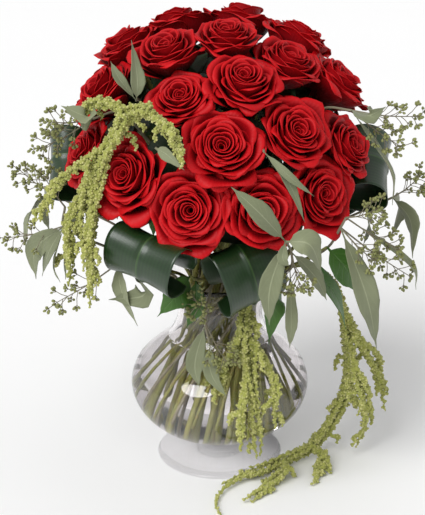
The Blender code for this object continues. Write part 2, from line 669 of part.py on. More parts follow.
glass = finish("clear_glass", (0.92, 0.93, 0.94), 0.03, 0.35)
water = finish("still_water", (0.80, 0.84, 0.86), 0.02, 0.35)
petal = finish("rose_petal", (0.50, 0.006, 0.012), 0.55)
rope = finish("amaranthus_green", (0.42, 0.50, 0.12), 0.75)
grey_leaf = finish("eucalyptus_leaf", (0.16, 0.21, 0.12), 0.55)
bright_leaf = finish("salal_leaf", (0.07, 0.19, 0.03), 0.40)
dark_leaf = finish("aspidistra_leaf", (0.015, 0.055, 0.015), 0.30)

SEATS = settled()
BY_HEIGHT = sorted(SEATS, key=lambda name: -SEATS[name][0].z)
RINGS = {0: {}, 1: {}, 2: {}}
for rank, seat in enumerate(BY_HEIGHT):
    way_out = SEATS[seat][0]
    RINGS[ring_of(rank)][seat] = math.degrees(math.atan2(way_out.x, -way_out.y))
SPIRAL = {name: (ring, slot) for ring, sides in RINGS.items() for name, slot in slots(sides).items()}
COLLAR_SLOTS = slots(COLLAR)
WATER_STEMS = [
    (*spiral_foot(slot, NECK_BORE * RING_RADII[ring], RING_ENDS[ring], CUT_HEIGHT),
     STEM_RADIUS if seat.startswith("rose") else SPRIG_RADIUS) for seat, (ring, slot) in SPIRAL.items()
] + [
    (*spiral_foot(slot, NECK_BORE * COLLAR_RADIUS - SPRIG_RADIUS, COLLAR_END, COLLAR_END_HEIGHT), SPRIG_RADIUS * 1.1)
    for slot in COLLAR_SLOTS.values()
]

make_vase()
for rose_name in [seat for seat in SEATS if seat.startswith("rose")]:
    make_rose(rose_name, *SEATS[rose_name], SPIRAL[rose_name][1], SPIRAL[rose_name][0])
for sprig_name in SPRIGS:
    make_sprig(sprig_name, bright_leaf if sprig_name.startswith("salal") else grey_leaf)
for rope_name in AMARANTHUS:
    make_amaranthus(rope_name)
for loop_name in LOOPS:
    make_loop(loop_name)
make_water()
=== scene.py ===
"""Red roses with seeded eucalyptus, salal, aspidistra loops and hanging amaranthus, in a footed glass vase.

Metres, +Z up, the front is -Y, and the origin is the centre of the vase's foot, on the table.
The sections follow the florist's hands: vase, water, roses, aspidistra, salal, eucalyptus, amaranthus.
"""

import math
import random

import bmesh
import bpy
import numpy as np
from mathutils import Matrix, Vector


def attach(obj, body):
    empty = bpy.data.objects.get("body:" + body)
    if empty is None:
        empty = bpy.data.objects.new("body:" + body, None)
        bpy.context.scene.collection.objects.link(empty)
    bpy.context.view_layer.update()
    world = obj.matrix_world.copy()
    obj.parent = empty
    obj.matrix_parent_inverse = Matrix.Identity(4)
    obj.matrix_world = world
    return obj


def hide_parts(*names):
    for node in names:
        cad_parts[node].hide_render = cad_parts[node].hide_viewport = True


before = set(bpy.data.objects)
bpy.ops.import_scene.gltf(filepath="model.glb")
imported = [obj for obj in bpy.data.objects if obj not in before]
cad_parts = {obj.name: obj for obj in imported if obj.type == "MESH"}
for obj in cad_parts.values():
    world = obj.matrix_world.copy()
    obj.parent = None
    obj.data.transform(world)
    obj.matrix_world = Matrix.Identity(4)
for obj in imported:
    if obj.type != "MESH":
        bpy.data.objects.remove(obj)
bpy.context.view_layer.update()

# --- Vase ---------------------------------------------------------------------------------------
# A footed vase of clear blown glass: disc foot, short solid knop, squat bowl, narrow neck, flared mouth.
# It is turned as one wall of even thickness, fire-polished at the lip, with the faint waves of hand work.

FOOT_RADIUS, FOOT_EDGE = 0.064, 0.0042
KNOP_RADIUS = 0.0205
BOWL_RADIUS, BOWL_HEIGHT = 0.090, 0.082
NECK_RADIUS, NECK_HEIGHT = 0.0425, 0.157
RIM_RADIUS, VASE_HEIGHT = 0.068, 0.204
GLASS = 0.003
BOWL_FLOOR = 0.0285
GLASS_SIDES = 128


class Value:
    """A socket's value in a material, with arithmetic that adds Math nodes."""

    def __init__(self, finish, socket):
        self.finish, self.socket = finish, socket

    def maths(self, operation, *others):
        sockets = {i: other for i, other in enumerate(others)}
        return self.finish.node("ShaderNodeMath", {"operation": operation}, sockets)

    def __add__(self, other):
        return self.maths("ADD", self, other)

    def __radd__(self, other):
        return self.maths("ADD", other, self)

    def __sub__(self, other):
        return self.maths("SUBTRACT", self, other)

    def __rsub__(self, other):
        return self.maths("SUBTRACT", other, self)

    def __mul__(self, other):
        return self.maths("MULTIPLY", self, other)

    def __rmul__(self, other):
        return self.maths("MULTIPLY", other, self)

    def __pow__(self, other):
        return self.maths("POWER", self, other)

    def sine(self):
        return self.maths("SINE", self)

    def absolute(self):
        return self.maths("ABSOLUTE", self)

    def held(self):
        """The value kept between 0 and 1."""
        return self.finish.node("ShaderNodeClamp", {}, {"Value": self})


class Finish:
    """A material round one Principled shader, whose even values are set straight on its sockets."""

    def __init__(self, name, **even):
        self.material = bpy.data.materials.new(name)
        self.material.use_nodes = True
        self.nodes = self.material.node_tree.nodes
        self.links = self.material.node_tree.links
        self.shader = self.nodes["Principled BSDF"]
        for socket, value in even.items():
            self.shader.inputs[socket.replace("_", " ")].default_value = value

    def node(self, kind, settings, sockets, output=0):
        """Adds a node: its settings first, then each input's value or link. Returns one output."""
        made = self.nodes.new(kind)
        for setting, value in settings.items():
            setattr(made, setting, value)
        self.fill(made, sockets)
        return Value(self, made.outputs[output])

    def fill(self, made, sockets):
        for socket, value in sockets.items():
            if isinstance(value, Value):
                self.links.new(value.socket, made.inputs[socket])
            else:
                made.inputs[socket].default_value = value

    def place(self):
        """The point on the piece, in the object's own coordinates."""
        return self.node("ShaderNodeTexCoord", {}, {}, "Object")

    def carried(self, name):
        """A value that the piece's points carry."""
        return self.node("ShaderNodeAttribute", {"attribute_name": name}, {}, "Fac")

    def noise(self, scale, detail=3.0, stretch=None, roughness=0.55):
        """Soft random patches from 0 to 1, stretched along an axis where that is asked for."""
        at = self.place()
        if stretch:
            at = self.node("ShaderNodeMapping", {}, {"Vector": at, "Scale": stretch})
        return self.node("ShaderNodeTexNoise", {}, {
            "Vector": at, "Scale": scale, "Detail": detail, "Roughness": roughness})

    def blend(self, mask, first, second):
        """A colour between two, by a mask from 0 to 1."""
        paints = {"Factor": mask}
        for socket, colour in ((6, first), (7, second)):
            paints[socket] = colour if isinstance(colour, Value) else (*colour, 1.0)
        return self.node("ShaderNodeMix", {"data_type": "RGBA"}, paints, 2)

    def dress(self, colour=None, roughness=None, relief=None, depth=0.001):
        """Links what changes over the surface to the shader."""
        if colour is not None:
            self.fill(self.shader, {"Base Color": colour})
        if roughness is not None:
            self.fill(self.shader, {"Roughness": roughness})
        if relief is not None:
            bump = self.node("ShaderNodeBump", {}, {"Height": relief, "Distance": depth, "Strength": 1.0})
            self.fill(self.shader, {"Normal": bump})
        return self.material


def smooth(points, steps):
    """Points along a smooth curve through the given ones, with so many steps from one to the next."""
    points = [Vector(p) for p in points]
    ends = [points[0] * 2 - points[1], *points, points[-1] * 2 - points[-2]]
    curve = []
    for a, b, c, d in zip(ends, ends[1:], ends[2:], ends[3:]):
        for i in range(steps):
            t = i / steps
            curve.append(0.5 * (2 * b + (c - a) * t + (2 * a - 5 * b + 4 * c - d) * t**2
                                + (3 * b - a - 3 * c + d) * t**3))
    return [*curve, points[-1]]


def way_at(points, i):
    """The direction of a path at one of its points."""
    return (points[min(i + 1, len(points) - 1)] - points[max(i - 1, 0)]).normalized()


def added(name, data):
    """A new object round a mesh, lamp or camera, put in the scene."""
    made = bpy.data.objects.new(name, data)
    bpy.context.collection.objects.link(made)
    return made


def vase_wall():
    """The outside of the bowl and mouth as (radius, height) points, from the knop up to the rim."""
    span = BOWL_HEIGHT - 0.020
    rise = NECK_HEIGHT - BOWL_HEIGHT
    flare = VASE_HEIGHT - NECK_HEIGHT
    lip = RIM_RADIUS - NECK_RADIUS
    return smooth([
        (KNOP_RADIUS * 1.18, BOWL_HEIGHT - span), (BOWL_RADIUS * 0.46, BOWL_HEIGHT - span * 0.88),
        (BOWL_RADIUS * 0.74, BOWL_HEIGHT - span * 0.66), (BOWL_RADIUS * 0.93, BOWL_HEIGHT - span * 0.36),
        (BOWL_RADIUS, BOWL_HEIGHT), (BOWL_RADIUS * 0.93, BOWL_HEIGHT + rise * 0.29),
        (BOWL_RADIUS * 0.76, BOWL_HEIGHT + rise * 0.51), (BOWL_RADIUS * 0.585, BOWL_HEIGHT + rise * 0.68),
        (NECK_RADIUS * 1.065, BOWL_HEIGHT + rise * 0.85), (NECK_RADIUS, NECK_HEIGHT),
        (NECK_RADIUS + lip * 0.10, NECK_HEIGHT + flare * 0.3),
        (NECK_RADIUS + lip * 0.42, NECK_HEIGHT + flare * 0.66), (RIM_RADIUS, VASE_HEIGHT),
    ], 5)


def bore_wall(depth, top):
    """The inside of the bowl as (radius, height) points, from its floor up to a height."""
    wall, moved = vase_wall(), []
    for i, point in enumerate(wall):
        along = way_at(wall, i)
        moved.append(point + Vector((-along.y, along.x)) * depth)
    floor = BOWL_FLOOR + depth - GLASS
    inside = [p for p in moved if floor + 0.0015 < p.y < top]
    first = inside[0].x
    return [Vector((0, floor)), Vector((first * 0.6, floor)), Vector((first * 0.9, floor + 0.0004)), *inside]


def turned(name, profile, material):
    """A turned piece from (radius, height) points, in order along its profile from axis to axis."""
    mesh = bpy.data.meshes.new(name)
    edges = [(i, i + 1) for i in range(len(profile) - 1)]
    mesh.from_pydata([(p[0], 0, p[1]) for p in profile], edges, [])
    made = added(name, mesh)
    screw = made.modifiers.new("turn", "SCREW")
    screw.steps = screw.render_steps = GLASS_SIDES
    screw.use_merge_vertices = True
    screw.merge_threshold = 0.00001
    graph = bpy.context.evaluated_depsgraph_get()
    made.data = bpy.data.meshes.new_from_object(made.evaluated_get(graph))
    made.modifiers.clear()
    made.data.shade_smooth()
    made.data.materials.clear()
    made.data.materials.append(material)
    return made


clear_glass = Finish("clear_glass", IOR=1.46, Transmission_Weight=1.0, Specular_IOR_Level=0.5)
glass_tint = clear_glass.blend(clear_glass.noise(9.0), (0.975, 0.945, 0.955), (0.965, 0.950, 0.955))
clear_glass = clear_glass.dress(
    colour=glass_tint, roughness=clear_glass.noise(60.0) * 0.012,
    relief=clear_glass.noise(14.0, 1.0), depth=0.0006)

lip_edge = [
    (RIM_RADIUS - GLASS * 0.95, VASE_HEIGHT - 0.0008), (RIM_RADIUS - GLASS * 0.8, VASE_HEIGHT + 0.0003),
    (RIM_RADIUS - GLASS * 0.45, VASE_HEIGHT + 0.0009), (RIM_RADIUS - GLASS * 0.12, VASE_HEIGHT + 0.0006),
]
foot_side = [
    (KNOP_RADIUS * 1.02, 0.0172), (KNOP_RADIUS, 0.0148), (KNOP_RADIUS * 1.05, 0.0118),
    (FOOT_RADIUS * 0.40, 0.0096), (FOOT_RADIUS * 0.52, 0.0080), (FOOT_RADIUS * 0.75, 0.0060),
    (FOOT_RADIUS * 0.94, FOOT_EDGE + 0.0002),
    (FOOT_RADIUS * 0.985, FOOT_EDGE * 0.86), (FOOT_RADIUS, FOOT_EDGE * 0.55), (FOOT_RADIUS * 0.992, 0.0008),
    (FOOT_RADIUS * 0.975, 0.0), (FOOT_RADIUS * 0.80, 0.0), (0, 0.0),
]
vase = turned("vase_glass", [
    *bore_wall(GLASS, VASE_HEIGHT - 0.002), *lip_edge, *reversed(vase_wall()), *foot_side], clear_glass)
vase.visible_shadow = False
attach(vase, "root")
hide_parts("vase")

# --- Water --------------------------------------------------------------------------------------
# Clean water up to the shoulder of the bowl, with a small meniscus where it climbs the glass.
# Its side lies a hair inside the glass, so that no film of air shows between the two.

WATER_LEVEL = 0.132
WETTED = 0.0003

still_water = Finish("still_water", IOR=1.333, Transmission_Weight=1.0)
water_tint = still_water.blend(still_water.noise(12.0), (0.975, 0.960, 0.962), (0.965, 0.962, 0.962))
still_water = still_water.dress(colour=water_tint, roughness=still_water.noise(30.0) * 0.006)

wet_wall = bore_wall(GLASS - WETTED, WATER_LEVEL)
brim = wet_wall[-1].x
water = turned("water_body", [
    (0, WATER_LEVEL - 0.0012), (brim - 0.006, WATER_LEVEL - 0.0012), (brim - 0.003, WATER_LEVEL - 0.0009),
    (brim - 0.0012, WATER_LEVEL), *reversed(wet_wall)], still_water)
water.visible_shadow = False
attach(water, "root")
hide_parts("water")

# --- Roses --------------------------------------------------------------------------------------
# Thirty red garden-style roses on long stems, each head of spiralled petals that curl back at the lip.
# Each head is grown petal by petal round its own axis; the stem, hip, thorns, sepals and the leaves
# that close the gaps under the head are one piece.

HEAD_PETALS = 32
GUARD_STEP = 1.15
GOLDEN_ANGLE = 137.5
ANY_TURN = (0, 6.28)
PETAL_COLUMNS, PETAL_ROWS, LIP_ROWS = 19, 10, 5
PETAL_THICKNESS = 0.0004
HEAD_SHARE = 1.14
STEM_RADIUS = 0.0027
STEM_SIDES = 12
LOWEST_CUT, INSIDE_BOWL, RING_REACH = 0.036, 0.080, 0.008
SEPALS, SEPAL_HALF_WIDTH = 5, 0.0052
ROSE_LEAVES, ROSE_LEAF_HALF_WIDTH = 4, 0.0155
SEPAL_OUTLINE = [0.5, 0.8, 0.95, 1.0, 0.9, 0.7, 0.45, 0.2, 0.03]
ROSE_LEAF_OUTLINE = [
    0.06, 0.07, 0.30, 0.58, 0.75, 0.92, 0.90, 1.0, 0.93, 0.96, 0.84, 0.80, 0.64, 0.50, 0.33, 0.16, 0.02]


class Patchwork:
    """Grids of points gathered into one mesh, whose points carry named values."""

    def __init__(self):
        self.points, self.faces, self.values = [], [], {}

    def grid(self, points, closed=False, capped=False, **values):
        """Adds rows of points as a sheet, or as a tube where closed, capped at both ends if asked."""
        rows, columns = points.shape[:2]
        base = len(self.points)
        self.points += points.reshape(-1, 3).tolist()
        for i in range(rows - 1):
            for j in range(columns if closed else columns - 1):
                a, b = base + i * columns + j, base + i * columns + (j + 1) % columns
                self.faces.append((a, b, b + columns, a + columns))
        if capped:
            first, last = base, base + (rows - 1) * columns
            self.faces.append(tuple(first + j for j in reversed(range(columns))))
            self.faces.append(tuple(last + j for j in range(columns)))
        for name, value in values.items():
            held = self.values.setdefault(name, [])
            held += [0.0] * (base - len(held))
            held += np.broadcast_to(value, (rows, columns)).reshape(-1).tolist()

    def made(self, name, material, thickness=0.0):
        """The gathered mesh as an object, given a wall where it is made of sheets."""
        mesh = bpy.data.meshes.new(name)
        mesh.from_pydata(self.points, [], self.faces)
        for value, held in self.values.items():
            carried = mesh.attributes.new(value, "FLOAT", "POINT")
            carried.data.foreach_set("value", held + [0.0] * (len(self.points) - len(held)))
        mesh.shade_smooth()
        mesh.materials.append(material)
        made = added(name, mesh)
        if thickness:
            wall = made.modifiers.new("thickness", "SOLIDIFY")
            wall.thickness = thickness
            wall.offset = 0
        return made


def spine(node_name, rings):
    """The middles and radii of a stem's first rings, from its cut end, read off its CAD solid.

    A ring is kept in vertex order, because a set's order changes from run to run and with it the sums."""
    body = bmesh.new()
    body.from_mesh(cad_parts[node_name].data)
    bmesh.ops.remove_doubles(body, verts=body.verts, dist=1e-6)
    body.verts.index_update()
    in_bowl = [v for v in body.verts if v.co.z > LOWEST_CUT and v.co.xy.length < INSIDE_BOWL]
    lowest = min(in_bowl, key=lambda v: v.co.z)
    near = sorted(body.verts, key=lambda v: (v.co - lowest.co).length)
    ring = [v for v in near if (v.co - lowest.co).length < RING_REACH]
    seen, found = set(ring), []
    for _ in range(rings):
        middle = sum((v.co for v in ring), Vector()) / len(ring)
        found.append((middle, max((v.co - middle).length for v in ring)))
        beyond = {e.other_vert(v) for v in ring for e in v.link_edges} - seen
        ring = sorted(beyond, key=lambda v: v.index)
        seen |= beyond
    body.free()
    return found


def carried_frames(points):
    """Each point's direction and two sides, carried along the path without twisting."""
    ways = [way_at(points, i) for i in range(len(points))]
    side, frames = ways[0].orthogonal().normalized(), []
    for way in ways:
        side = (side - way * side.dot(way)).normalized()
        frames.append((way, side, way.cross(side)))
    return frames


def spoke(side, over, turn):
    """The direction at an angle round a path, from its one side towards the other."""
    return side * math.cos(turn) + over * math.sin(turn)


def tube_grid(points, radii, sides):
    """Rings of points along a path, as rows of a grid."""
    turns = [2 * math.pi * j / sides for j in range(sides)]
    return np.array([
        [point + spoke(side, over, turn) * radius for turn in turns]
        for point, radius, (_, side, over) in zip(points, radii, carried_frames(points))])


def petal_rows(step, radius, height, bloom, dice):
    """One petal as distance out, angle and height: a cupped wall, then a lip that rolls back.

    step runs from 0 for the innermost petal past 1 for the low guard petals, and bloom says how open
    the rose is."""
    across = np.linspace(-1, 1, PETAL_COLUMNS)[None, :]
    up = np.linspace(0, 1, PETAL_ROWS)[:, None]
    edge = np.abs(across)
    phase = [dice.uniform(*ANY_TURN) for _ in range(5)]
    odd = dice.uniform(-1, 1)
    ring = radius * (0.042 + 0.57 * step**1.12 + 0.04 * min(max(step - 0.25, 0) * 12, 1))
    flare = radius * bloom * (0.03 + 0.17 * step**1.3) * (1 + 0.15 * odd)
    top = height * (0.84 + 0.15 * math.sin(math.pi * min(step * 1.3, 1)) - 0.11 * step**3 + 0.03 * odd * step)
    point = np.exp(-((across - 0.3 * math.sin(phase[1])) / 0.14)**2)
    reach = 1 - (0.17 + 0.05 * step) * edge**2.4 - 0.12 * edge**8 + 0.05 * step**2 * point
    uneven = (0.008 + 0.022 * step) * np.sin(6.0 * across + phase[2])
    reach = reach * (1 + uneven + 0.05 * step * odd * across)

    def wall(v):
        cupped = 1 - (1 - np.clip(v, 0, 1))**(4.2 - 2.0 * min(step, 1))
        return ring * cupped + flare * np.clip(v, 0, 2)**3.2, top * (0.04 + 0.96 * v)

    out, high = wall(up**0.85 * reach)
    rim_out, rim_high = wall(reach)
    low_out, low_high = wall(reach - 0.02)
    slope = np.hypot(rim_out - low_out, rim_high - low_high)
    way_out, way_up = (rim_out - low_out) / slope, (rim_high - low_high) / slope
    shoulder = np.exp(-((edge - 0.55) / 0.25)**2)
    lip = radius * (0.018 + 0.135 * bloom * step**1.45) * (1 - edge**4)
    lip = lip * (1 + 0.28 * np.cos(across * 4.0 + phase[3]) + 0.14 * np.cos(across * 9 + phase[4])
                 + 0.45 * step * point)
    curl = 54 + 18 * max(1 - step, 0) + (16 + 66 * step * dice.uniform(0.3, 1)) * shoulder - 16 * step * point
    turn = np.radians(curl) * np.linspace(0, 1, LIP_ROWS + 1)[1:, None]
    lip_out = rim_out + lip * (np.sin(turn) * way_out + (1 - np.cos(turn)) * way_up)
    lip_high = rim_high + lip * (np.sin(turn) * way_up - (1 - np.cos(turn)) * way_out)
    out, high = np.vstack([out, lip_out]), np.vstack([high, lip_high])
    along = np.linspace(0, 1, PETAL_ROWS + LIP_ROWS)[:, None]
    out = out * (1 + (0.10 + 0.12 * max(1 - step, 0)) * across - 0.06 * edge**6)
    out = out * (1 + (0.012 + 0.02 * step) * np.sin(5 * across + phase[0]) * along**2)
    spread = 0.45 + 0.55 * np.clip(np.vstack([up, np.ones((LIP_ROWS, 1))]) * 1.5, 0, 1)
    return out, math.radians(150 - 80 * step**0.6) * across * spread, high


def rose_head(patch, base, facing, radius, height, dice):
    """A head of petals, laid from the bud out, each a golden angle round from the last."""
    place = Matrix.Translation(base) @ facing.to_track_quat("Z", "Y").to_matrix().to_4x4()
    turn, off = dice.uniform(*ANY_TURN), dice.uniform(*ANY_TURN)
    bloom = 1.05 - 0.35 * max(facing.z, 0)
    for k in range(HEAD_PETALS):
        step = GUARD_STEP * k / (HEAD_PETALS - 1)
        out, angle, high = petal_rows(step, radius, height, bloom, dice)
        turn += math.radians(GOLDEN_ANGLE + dice.uniform(-13, 13))
        lean = 1 + dice.uniform(-0.04, 0.04)
        tip = 0.15 * step * dice.uniform(-1, 1)
        drift = max(1 - step, 0)**1.5 * radius * 0.10 * high / height
        points = np.stack([out * np.cos(angle + turn) + drift * math.cos(off),
                           out * np.sin(angle + turn) + drift * math.sin(off),
                           high * lean + out * np.sin(angle) * tip], axis=-1)
        turned_points = points @ np.array(place.to_3x3()).T + np.array(place.translation)
        patch.grid(turned_points, across=np.linspace(-1, 1, PETAL_COLUMNS)[None, :],
                   along=np.linspace(0, 1, PETAL_ROWS + LIP_ROWS)[:, None], shade=dice.random())


def leaf_grid(midrib, half_widths, facing, fold, wave, dice, columns=9):
    """A leaf blade's points: folded a little along its midrib, and wavy at its edges."""
    rows, phase = [], dice.uniform(*ANY_TURN)
    for i, (point, half) in enumerate(zip(midrib, half_widths)):
        along = way_at(midrib, i)
        side = along.cross(facing[i]).normalized()
        up = side.cross(along)
        share = i / (len(midrib) - 1)
        row = []
        for s in np.linspace(-1, 1, columns):
            lift = fold * abs(s)**1.3 + wave * s**2 * math.sin(share * 15 + phase + s)
            row.append(point + side * half * s + up * half * lift)
        rows.append(row)
    return np.array(rows)


def rose_stem(patch, path, facing, head_radius, dice):
    """A rose's stem with its thorns, then the hip, sepals and leaves under the head."""
    points = smooth(path, 8)
    radii = [STEM_RADIUS * (1 + 0.05 * math.sin(i * 1.7)) for i in range(len(points))]
    for i in range(3, len(points) - 4, 9):
        radii[i] *= 1.16
    hip = [(0.002, 0.0042), (0.006, 0.0052), (0.010, 0.0046)]
    points += [path[-1] + facing * high for high, _ in hip]
    radii += [radius for _, radius in hip]
    patch.grid(tube_grid(points, radii, STEM_SIDES), closed=True, capped=True, leafy=0.0)
    frames = carried_frames(points)
    for i in range(6, len(points) - 12, 7):
        way, side, over = frames[i]
        turn = dice.uniform(*ANY_TURN)
        out = spoke(side, over, turn)
        root = points[i] + out * STEM_RADIUS * 0.7
        thorn = [root, root + out * 0.0018 - way * 0.0004, root + out * 0.0040 - way * 0.0018]
        patch.grid(tube_grid(thorn, [0.0016, 0.0008, 0.0001], 5), closed=True, capped=True, leafy=0.0)
    _, side, over = frames[-1]
    for k in range(SEPALS):
        turn = 2 * math.pi * (k + dice.uniform(-0.15, 0.15)) / SEPALS
        out = spoke(side, over, turn)
        start = path[-1] + facing * 0.008
        midrib = smooth([start + out * 0.003, start + out * head_radius * 0.45 + facing * 0.002,
                         start + out * head_radius * 0.80 - facing * dice.uniform(0.004, 0.012)], 4)
        widths = [SEPAL_HALF_WIDTH * share for share in SEPAL_OUTLINE]
        patch.grid(leaf_grid(midrib, widths, [facing] * len(widths), 0.25, 0.05, dice, 5), leafy=1.0)
    for k in range(ROSE_LEAVES):
        turn = 2 * math.pi * k / ROSE_LEAVES + dice.uniform(-0.4, 0.4)
        out = spoke(side, over, turn)
        start = path[-1] - facing * (0.004 + 0.007 * k)
        lift = facing * 0.004
        midrib = smooth([start, start + out * 0.022 + lift, start + out * 0.050 + lift], 8)
        widths = [ROSE_LEAF_HALF_WIDTH * share for share in ROSE_LEAF_OUTLINE]
        patch.grid(leaf_grid(midrib, widths, [facing] * len(widths), 0.2, 0.08, dice, 7), leafy=1.0)


rose_petal = Finish(
    "rose_petal", Sheen_Weight=0.03, Sheen_Roughness=0.4, Sheen_Tint=(1.0, 0.15, 0.15, 1.0),
    Specular_IOR_Level=0.2)
# Painted shade: each petal darkens towards its base to near black-red, deep in the head's creases, with a
# random mottle.
petal_crease_shade = (rose_petal.carried("along") * 1.9 - 0.85 + rose_petal.noise(130.0) * 0.25).held()
petal_red = rose_petal.blend(petal_crease_shade, (0.095, 0.0006, 0.0030), (0.58, 0.0035, 0.0070))
petal_red = rose_petal.blend(rose_petal.carried("shade") * 0.35, petal_red, (0.34, 0.0018, 0.0060))
petal_veins = (rose_petal.carried("across") * 70.0 + rose_petal.noise(220.0) * 5.0).sine() * 0.5 + 0.5
rose_petal = rose_petal.dress(
    colour=petal_red, roughness=0.44 + rose_petal.noise(500.0) * 0.16, depth=0.0003,
    relief=petal_veins * 0.35 + rose_petal.noise(900.0, 2.0) * 0.4 + rose_petal.noise(160.0) * 0.8)

stem_green = Finish("rose_stem", Specular_IOR_Level=0.4)
bark = stem_green.blend(stem_green.noise(45.0), (0.115, 0.155, 0.025), (0.28, 0.25, 0.060))
bark = stem_green.blend((stem_green.noise(260.0, 4.0) * 2.2 - 1.1).held(), bark, (0.20, 0.085, 0.030))
bark = stem_green.blend(stem_green.carried("leafy"), bark, (0.012, 0.036, 0.008))
stem_green = stem_green.dress(
    colour=bark, roughness=0.42 + stem_green.noise(90.0) * 0.2,
    relief=stem_green.noise(420.0, 4.0), depth=0.0004)

for number in range(1, 31):
    rose_name = f"rose_{number:02d}"
    dice = random.Random(number)
    rings = spine(rose_name, 13)
    base, facing = rings[6][0], (rings[12][0] - rings[6][0]).normalized()
    head_radius = rings[10][1] * HEAD_SHARE * dice.uniform(0.95, 1.05)
    head_height = (rings[12][0] - base).length * (1 + 0.02 * max(facing.z, 0))
    petals = Patchwork()
    rose_head(petals, base + facing * 0.003, facing, head_radius, head_height, dice)
    head = petals.made(f"{rose_name}_petals", rose_petal, PETAL_THICKNESS)
    green = Patchwork()
    rose_stem(green, [middle for middle, _ in rings[:7]], facing, head_radius, dice)
    stem = green.made(f"{rose_name}_stem", stem_green)
    for piece in (head, stem):
        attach(piece, "root")
        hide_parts(rose_name)

# --- Aspidistra loops ---------------------------------------------------------------------------
# Broad glossy leaves folded out and back under themselves, the collar that hides the vase's mouth.
# Each is one leaf bent round on itself, with fine parallel veins and a pale midrib along it.

BLADE_HALF_WIDTH = 0.038
BLADE_THICKNESS = 0.0007
STALK_RADIUS = 0.0017
# By loop: the side it stands on in degrees, height of the fold's middle, its radius, its reach from
# the axis, its width, its roll about its reach, how much of its inner end is left, its turn about the
# upright and how tall its fold is.
LOOPS = {
    "aspidistra_loop_left": (-88, 0.314, 0.018, 0.146, 0.84, 40, 0.15, 0, 1.0),
    "aspidistra_loop_front_left": (-26, 0.264, 0.019, 0.145, 1.0, 9, 1.0, -11, 1.15),
    "aspidistra_loop_front_right": (10, 0.246, 0.0215, 0.124, 0.80, -14, 1.0, 18, 1.35),
    "aspidistra_loop_right": (84, 0.312, 0.022, 0.140, 0.92, -36, 0.15, 0, 1.0),
    "aspidistra_loop_back_right": (132, 0.258, 0.021, 0.146, 1.0, 0, 1.0, 0, 1.0),
    "aspidistra_loop_back_left": (-132, 0.258, 0.021, 0.146, 1.0, 0, 1.0, 0, 1.0),
}


def polar(degrees, radius, height):
    """A point by its direction round the axis (0 is the front, +90 the right), distance out and height."""
    turn = math.radians(degrees)
    return Vector((radius * math.sin(turn), -radius * math.cos(turn), height))


def aspidistra_loop(name):
    """One folded leaf and its stalk."""
    side, middle, fold, reach, width, roll, inner, turn, tall = LOOPS[name]
    dice, roll = random.Random(name), math.radians(roll)
    centre = polar(side, reach, middle)
    out, round_way = polar(side + turn, 1, 0), polar(side + turn + 90, 1, 0)
    up = Vector((0, 0, math.cos(roll))) + round_way * math.sin(roll)
    drawn = [
        (-2.6, -0.7), (-2.1, -0.78), (-1.55, -0.52), (-1.15, 0.05), (-0.85, 0.6), (-0.35, 0.94), (0.2, 0.99),
        (0.7, 0.72), (0.98, 0.18), (0.95, -0.4), (0.6, -0.82), (0.05, -1.0), (-0.55, -0.98), (-1.15, -0.92),
    ]
    drawn = [(x if x > -0.6 else (x + 0.6) * inner - 0.6, y) for x, y in drawn]
    widths = [0.08, 0.35, 0.70, 0.92, 1.0, 1.0, 1.0, 1.0, 1.0, 1.0, 0.98, 0.94, 0.88, 0.74]
    steps = 6
    midrib = smooth([centre + out * fold * x + up * fold * tall * y for x, y in drawn], steps)
    places = [i / steps for i in range(len(midrib))]
    halves = [BLADE_HALF_WIDTH * width * float(np.interp(p, range(len(widths)), widths)) for p in places]
    level = out.cross(up)
    columns = 25
    rows, phase = [], dice.uniform(*ANY_TURN)
    for i, (point, half) in enumerate(zip(midrib, halves)):
        along = way_at(midrib, i)
        face = along.cross(level).normalized()
        row = []
        for s in np.linspace(-1, 1, columns):
            ripple = 0.0009 * s**2 * math.sin(places[i] * 1.9 + phase + s) - 0.0016 * math.exp(-(s / 0.07)**2)
            bow = -0.0026 * s**2 + 0.0008 * math.sin(places[i] * 0.9 + phase)
            row.append(point - level * half * s + face * (ripple + bow))
        rows.append(row)
    leaf = Patchwork()
    leaf.grid(np.array(rows), across=np.linspace(-1, 1, columns)[None, :])
    blade = leaf.made(f"{name}_blade", aspidistra_leaf, BLADE_THICKNESS)
    path = smooth([middle for middle, _ in spine(name, 4)] + [midrib[0].lerp(midrib[steps], 0.2)], 5)
    stalk = Patchwork()
    stalk.grid(tube_grid(path, [STALK_RADIUS] * len(path), 8), closed=True, capped=True)
    return blade, stalk.made(f"{name}_stalk", stem_green)


aspidistra_leaf = Finish(
    "aspidistra_leaf", Specular_IOR_Level=0.55, Coat_Weight=0.25, Coat_Roughness=0.18)
streaks = (aspidistra_leaf.carried("across") * 60.0 + aspidistra_leaf.noise(60.0) * 1.2).sine() * 0.5 + 0.5
fine_veins = (aspidistra_leaf.carried("across") * 190.0).sine() * 0.5 + 0.5
deep_green = aspidistra_leaf.blend(
    aspidistra_leaf.noise(28.0, 4.0), (0.0045, 0.018, 0.005), (0.011, 0.036, 0.008))
deep_green = aspidistra_leaf.blend(streaks * 0.14, deep_green, (0.030, 0.085, 0.018))
rib = (1.0 - aspidistra_leaf.carried("across").absolute() * 24.0).held()
deep_green = aspidistra_leaf.blend(rib * 0.5, deep_green, (0.055, 0.12, 0.025))
aspidistra_leaf = aspidistra_leaf.dress(
    colour=deep_green, roughness=0.26 + aspidistra_leaf.noise(70.0) * 0.14,
    relief=fine_veins * 0.5 + streaks * 0.25 + rib, depth=0.0001)

for loop_name in LOOPS:
    for piece in aspidistra_loop(loop_name):
        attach(piece, "root")
        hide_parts(loop_name)

# --- Salal --------------------------------------------------------------------------------------
# Leathery oval leaves of a fresh bright green, on woody twigs that come over the vase's lip.
# The leaf blades are sheets with a sunk midrib and netted side veins; the twig is one tube.

SPRIG_RADIUS = 0.0016
LEAF_THICKNESS = 0.00045
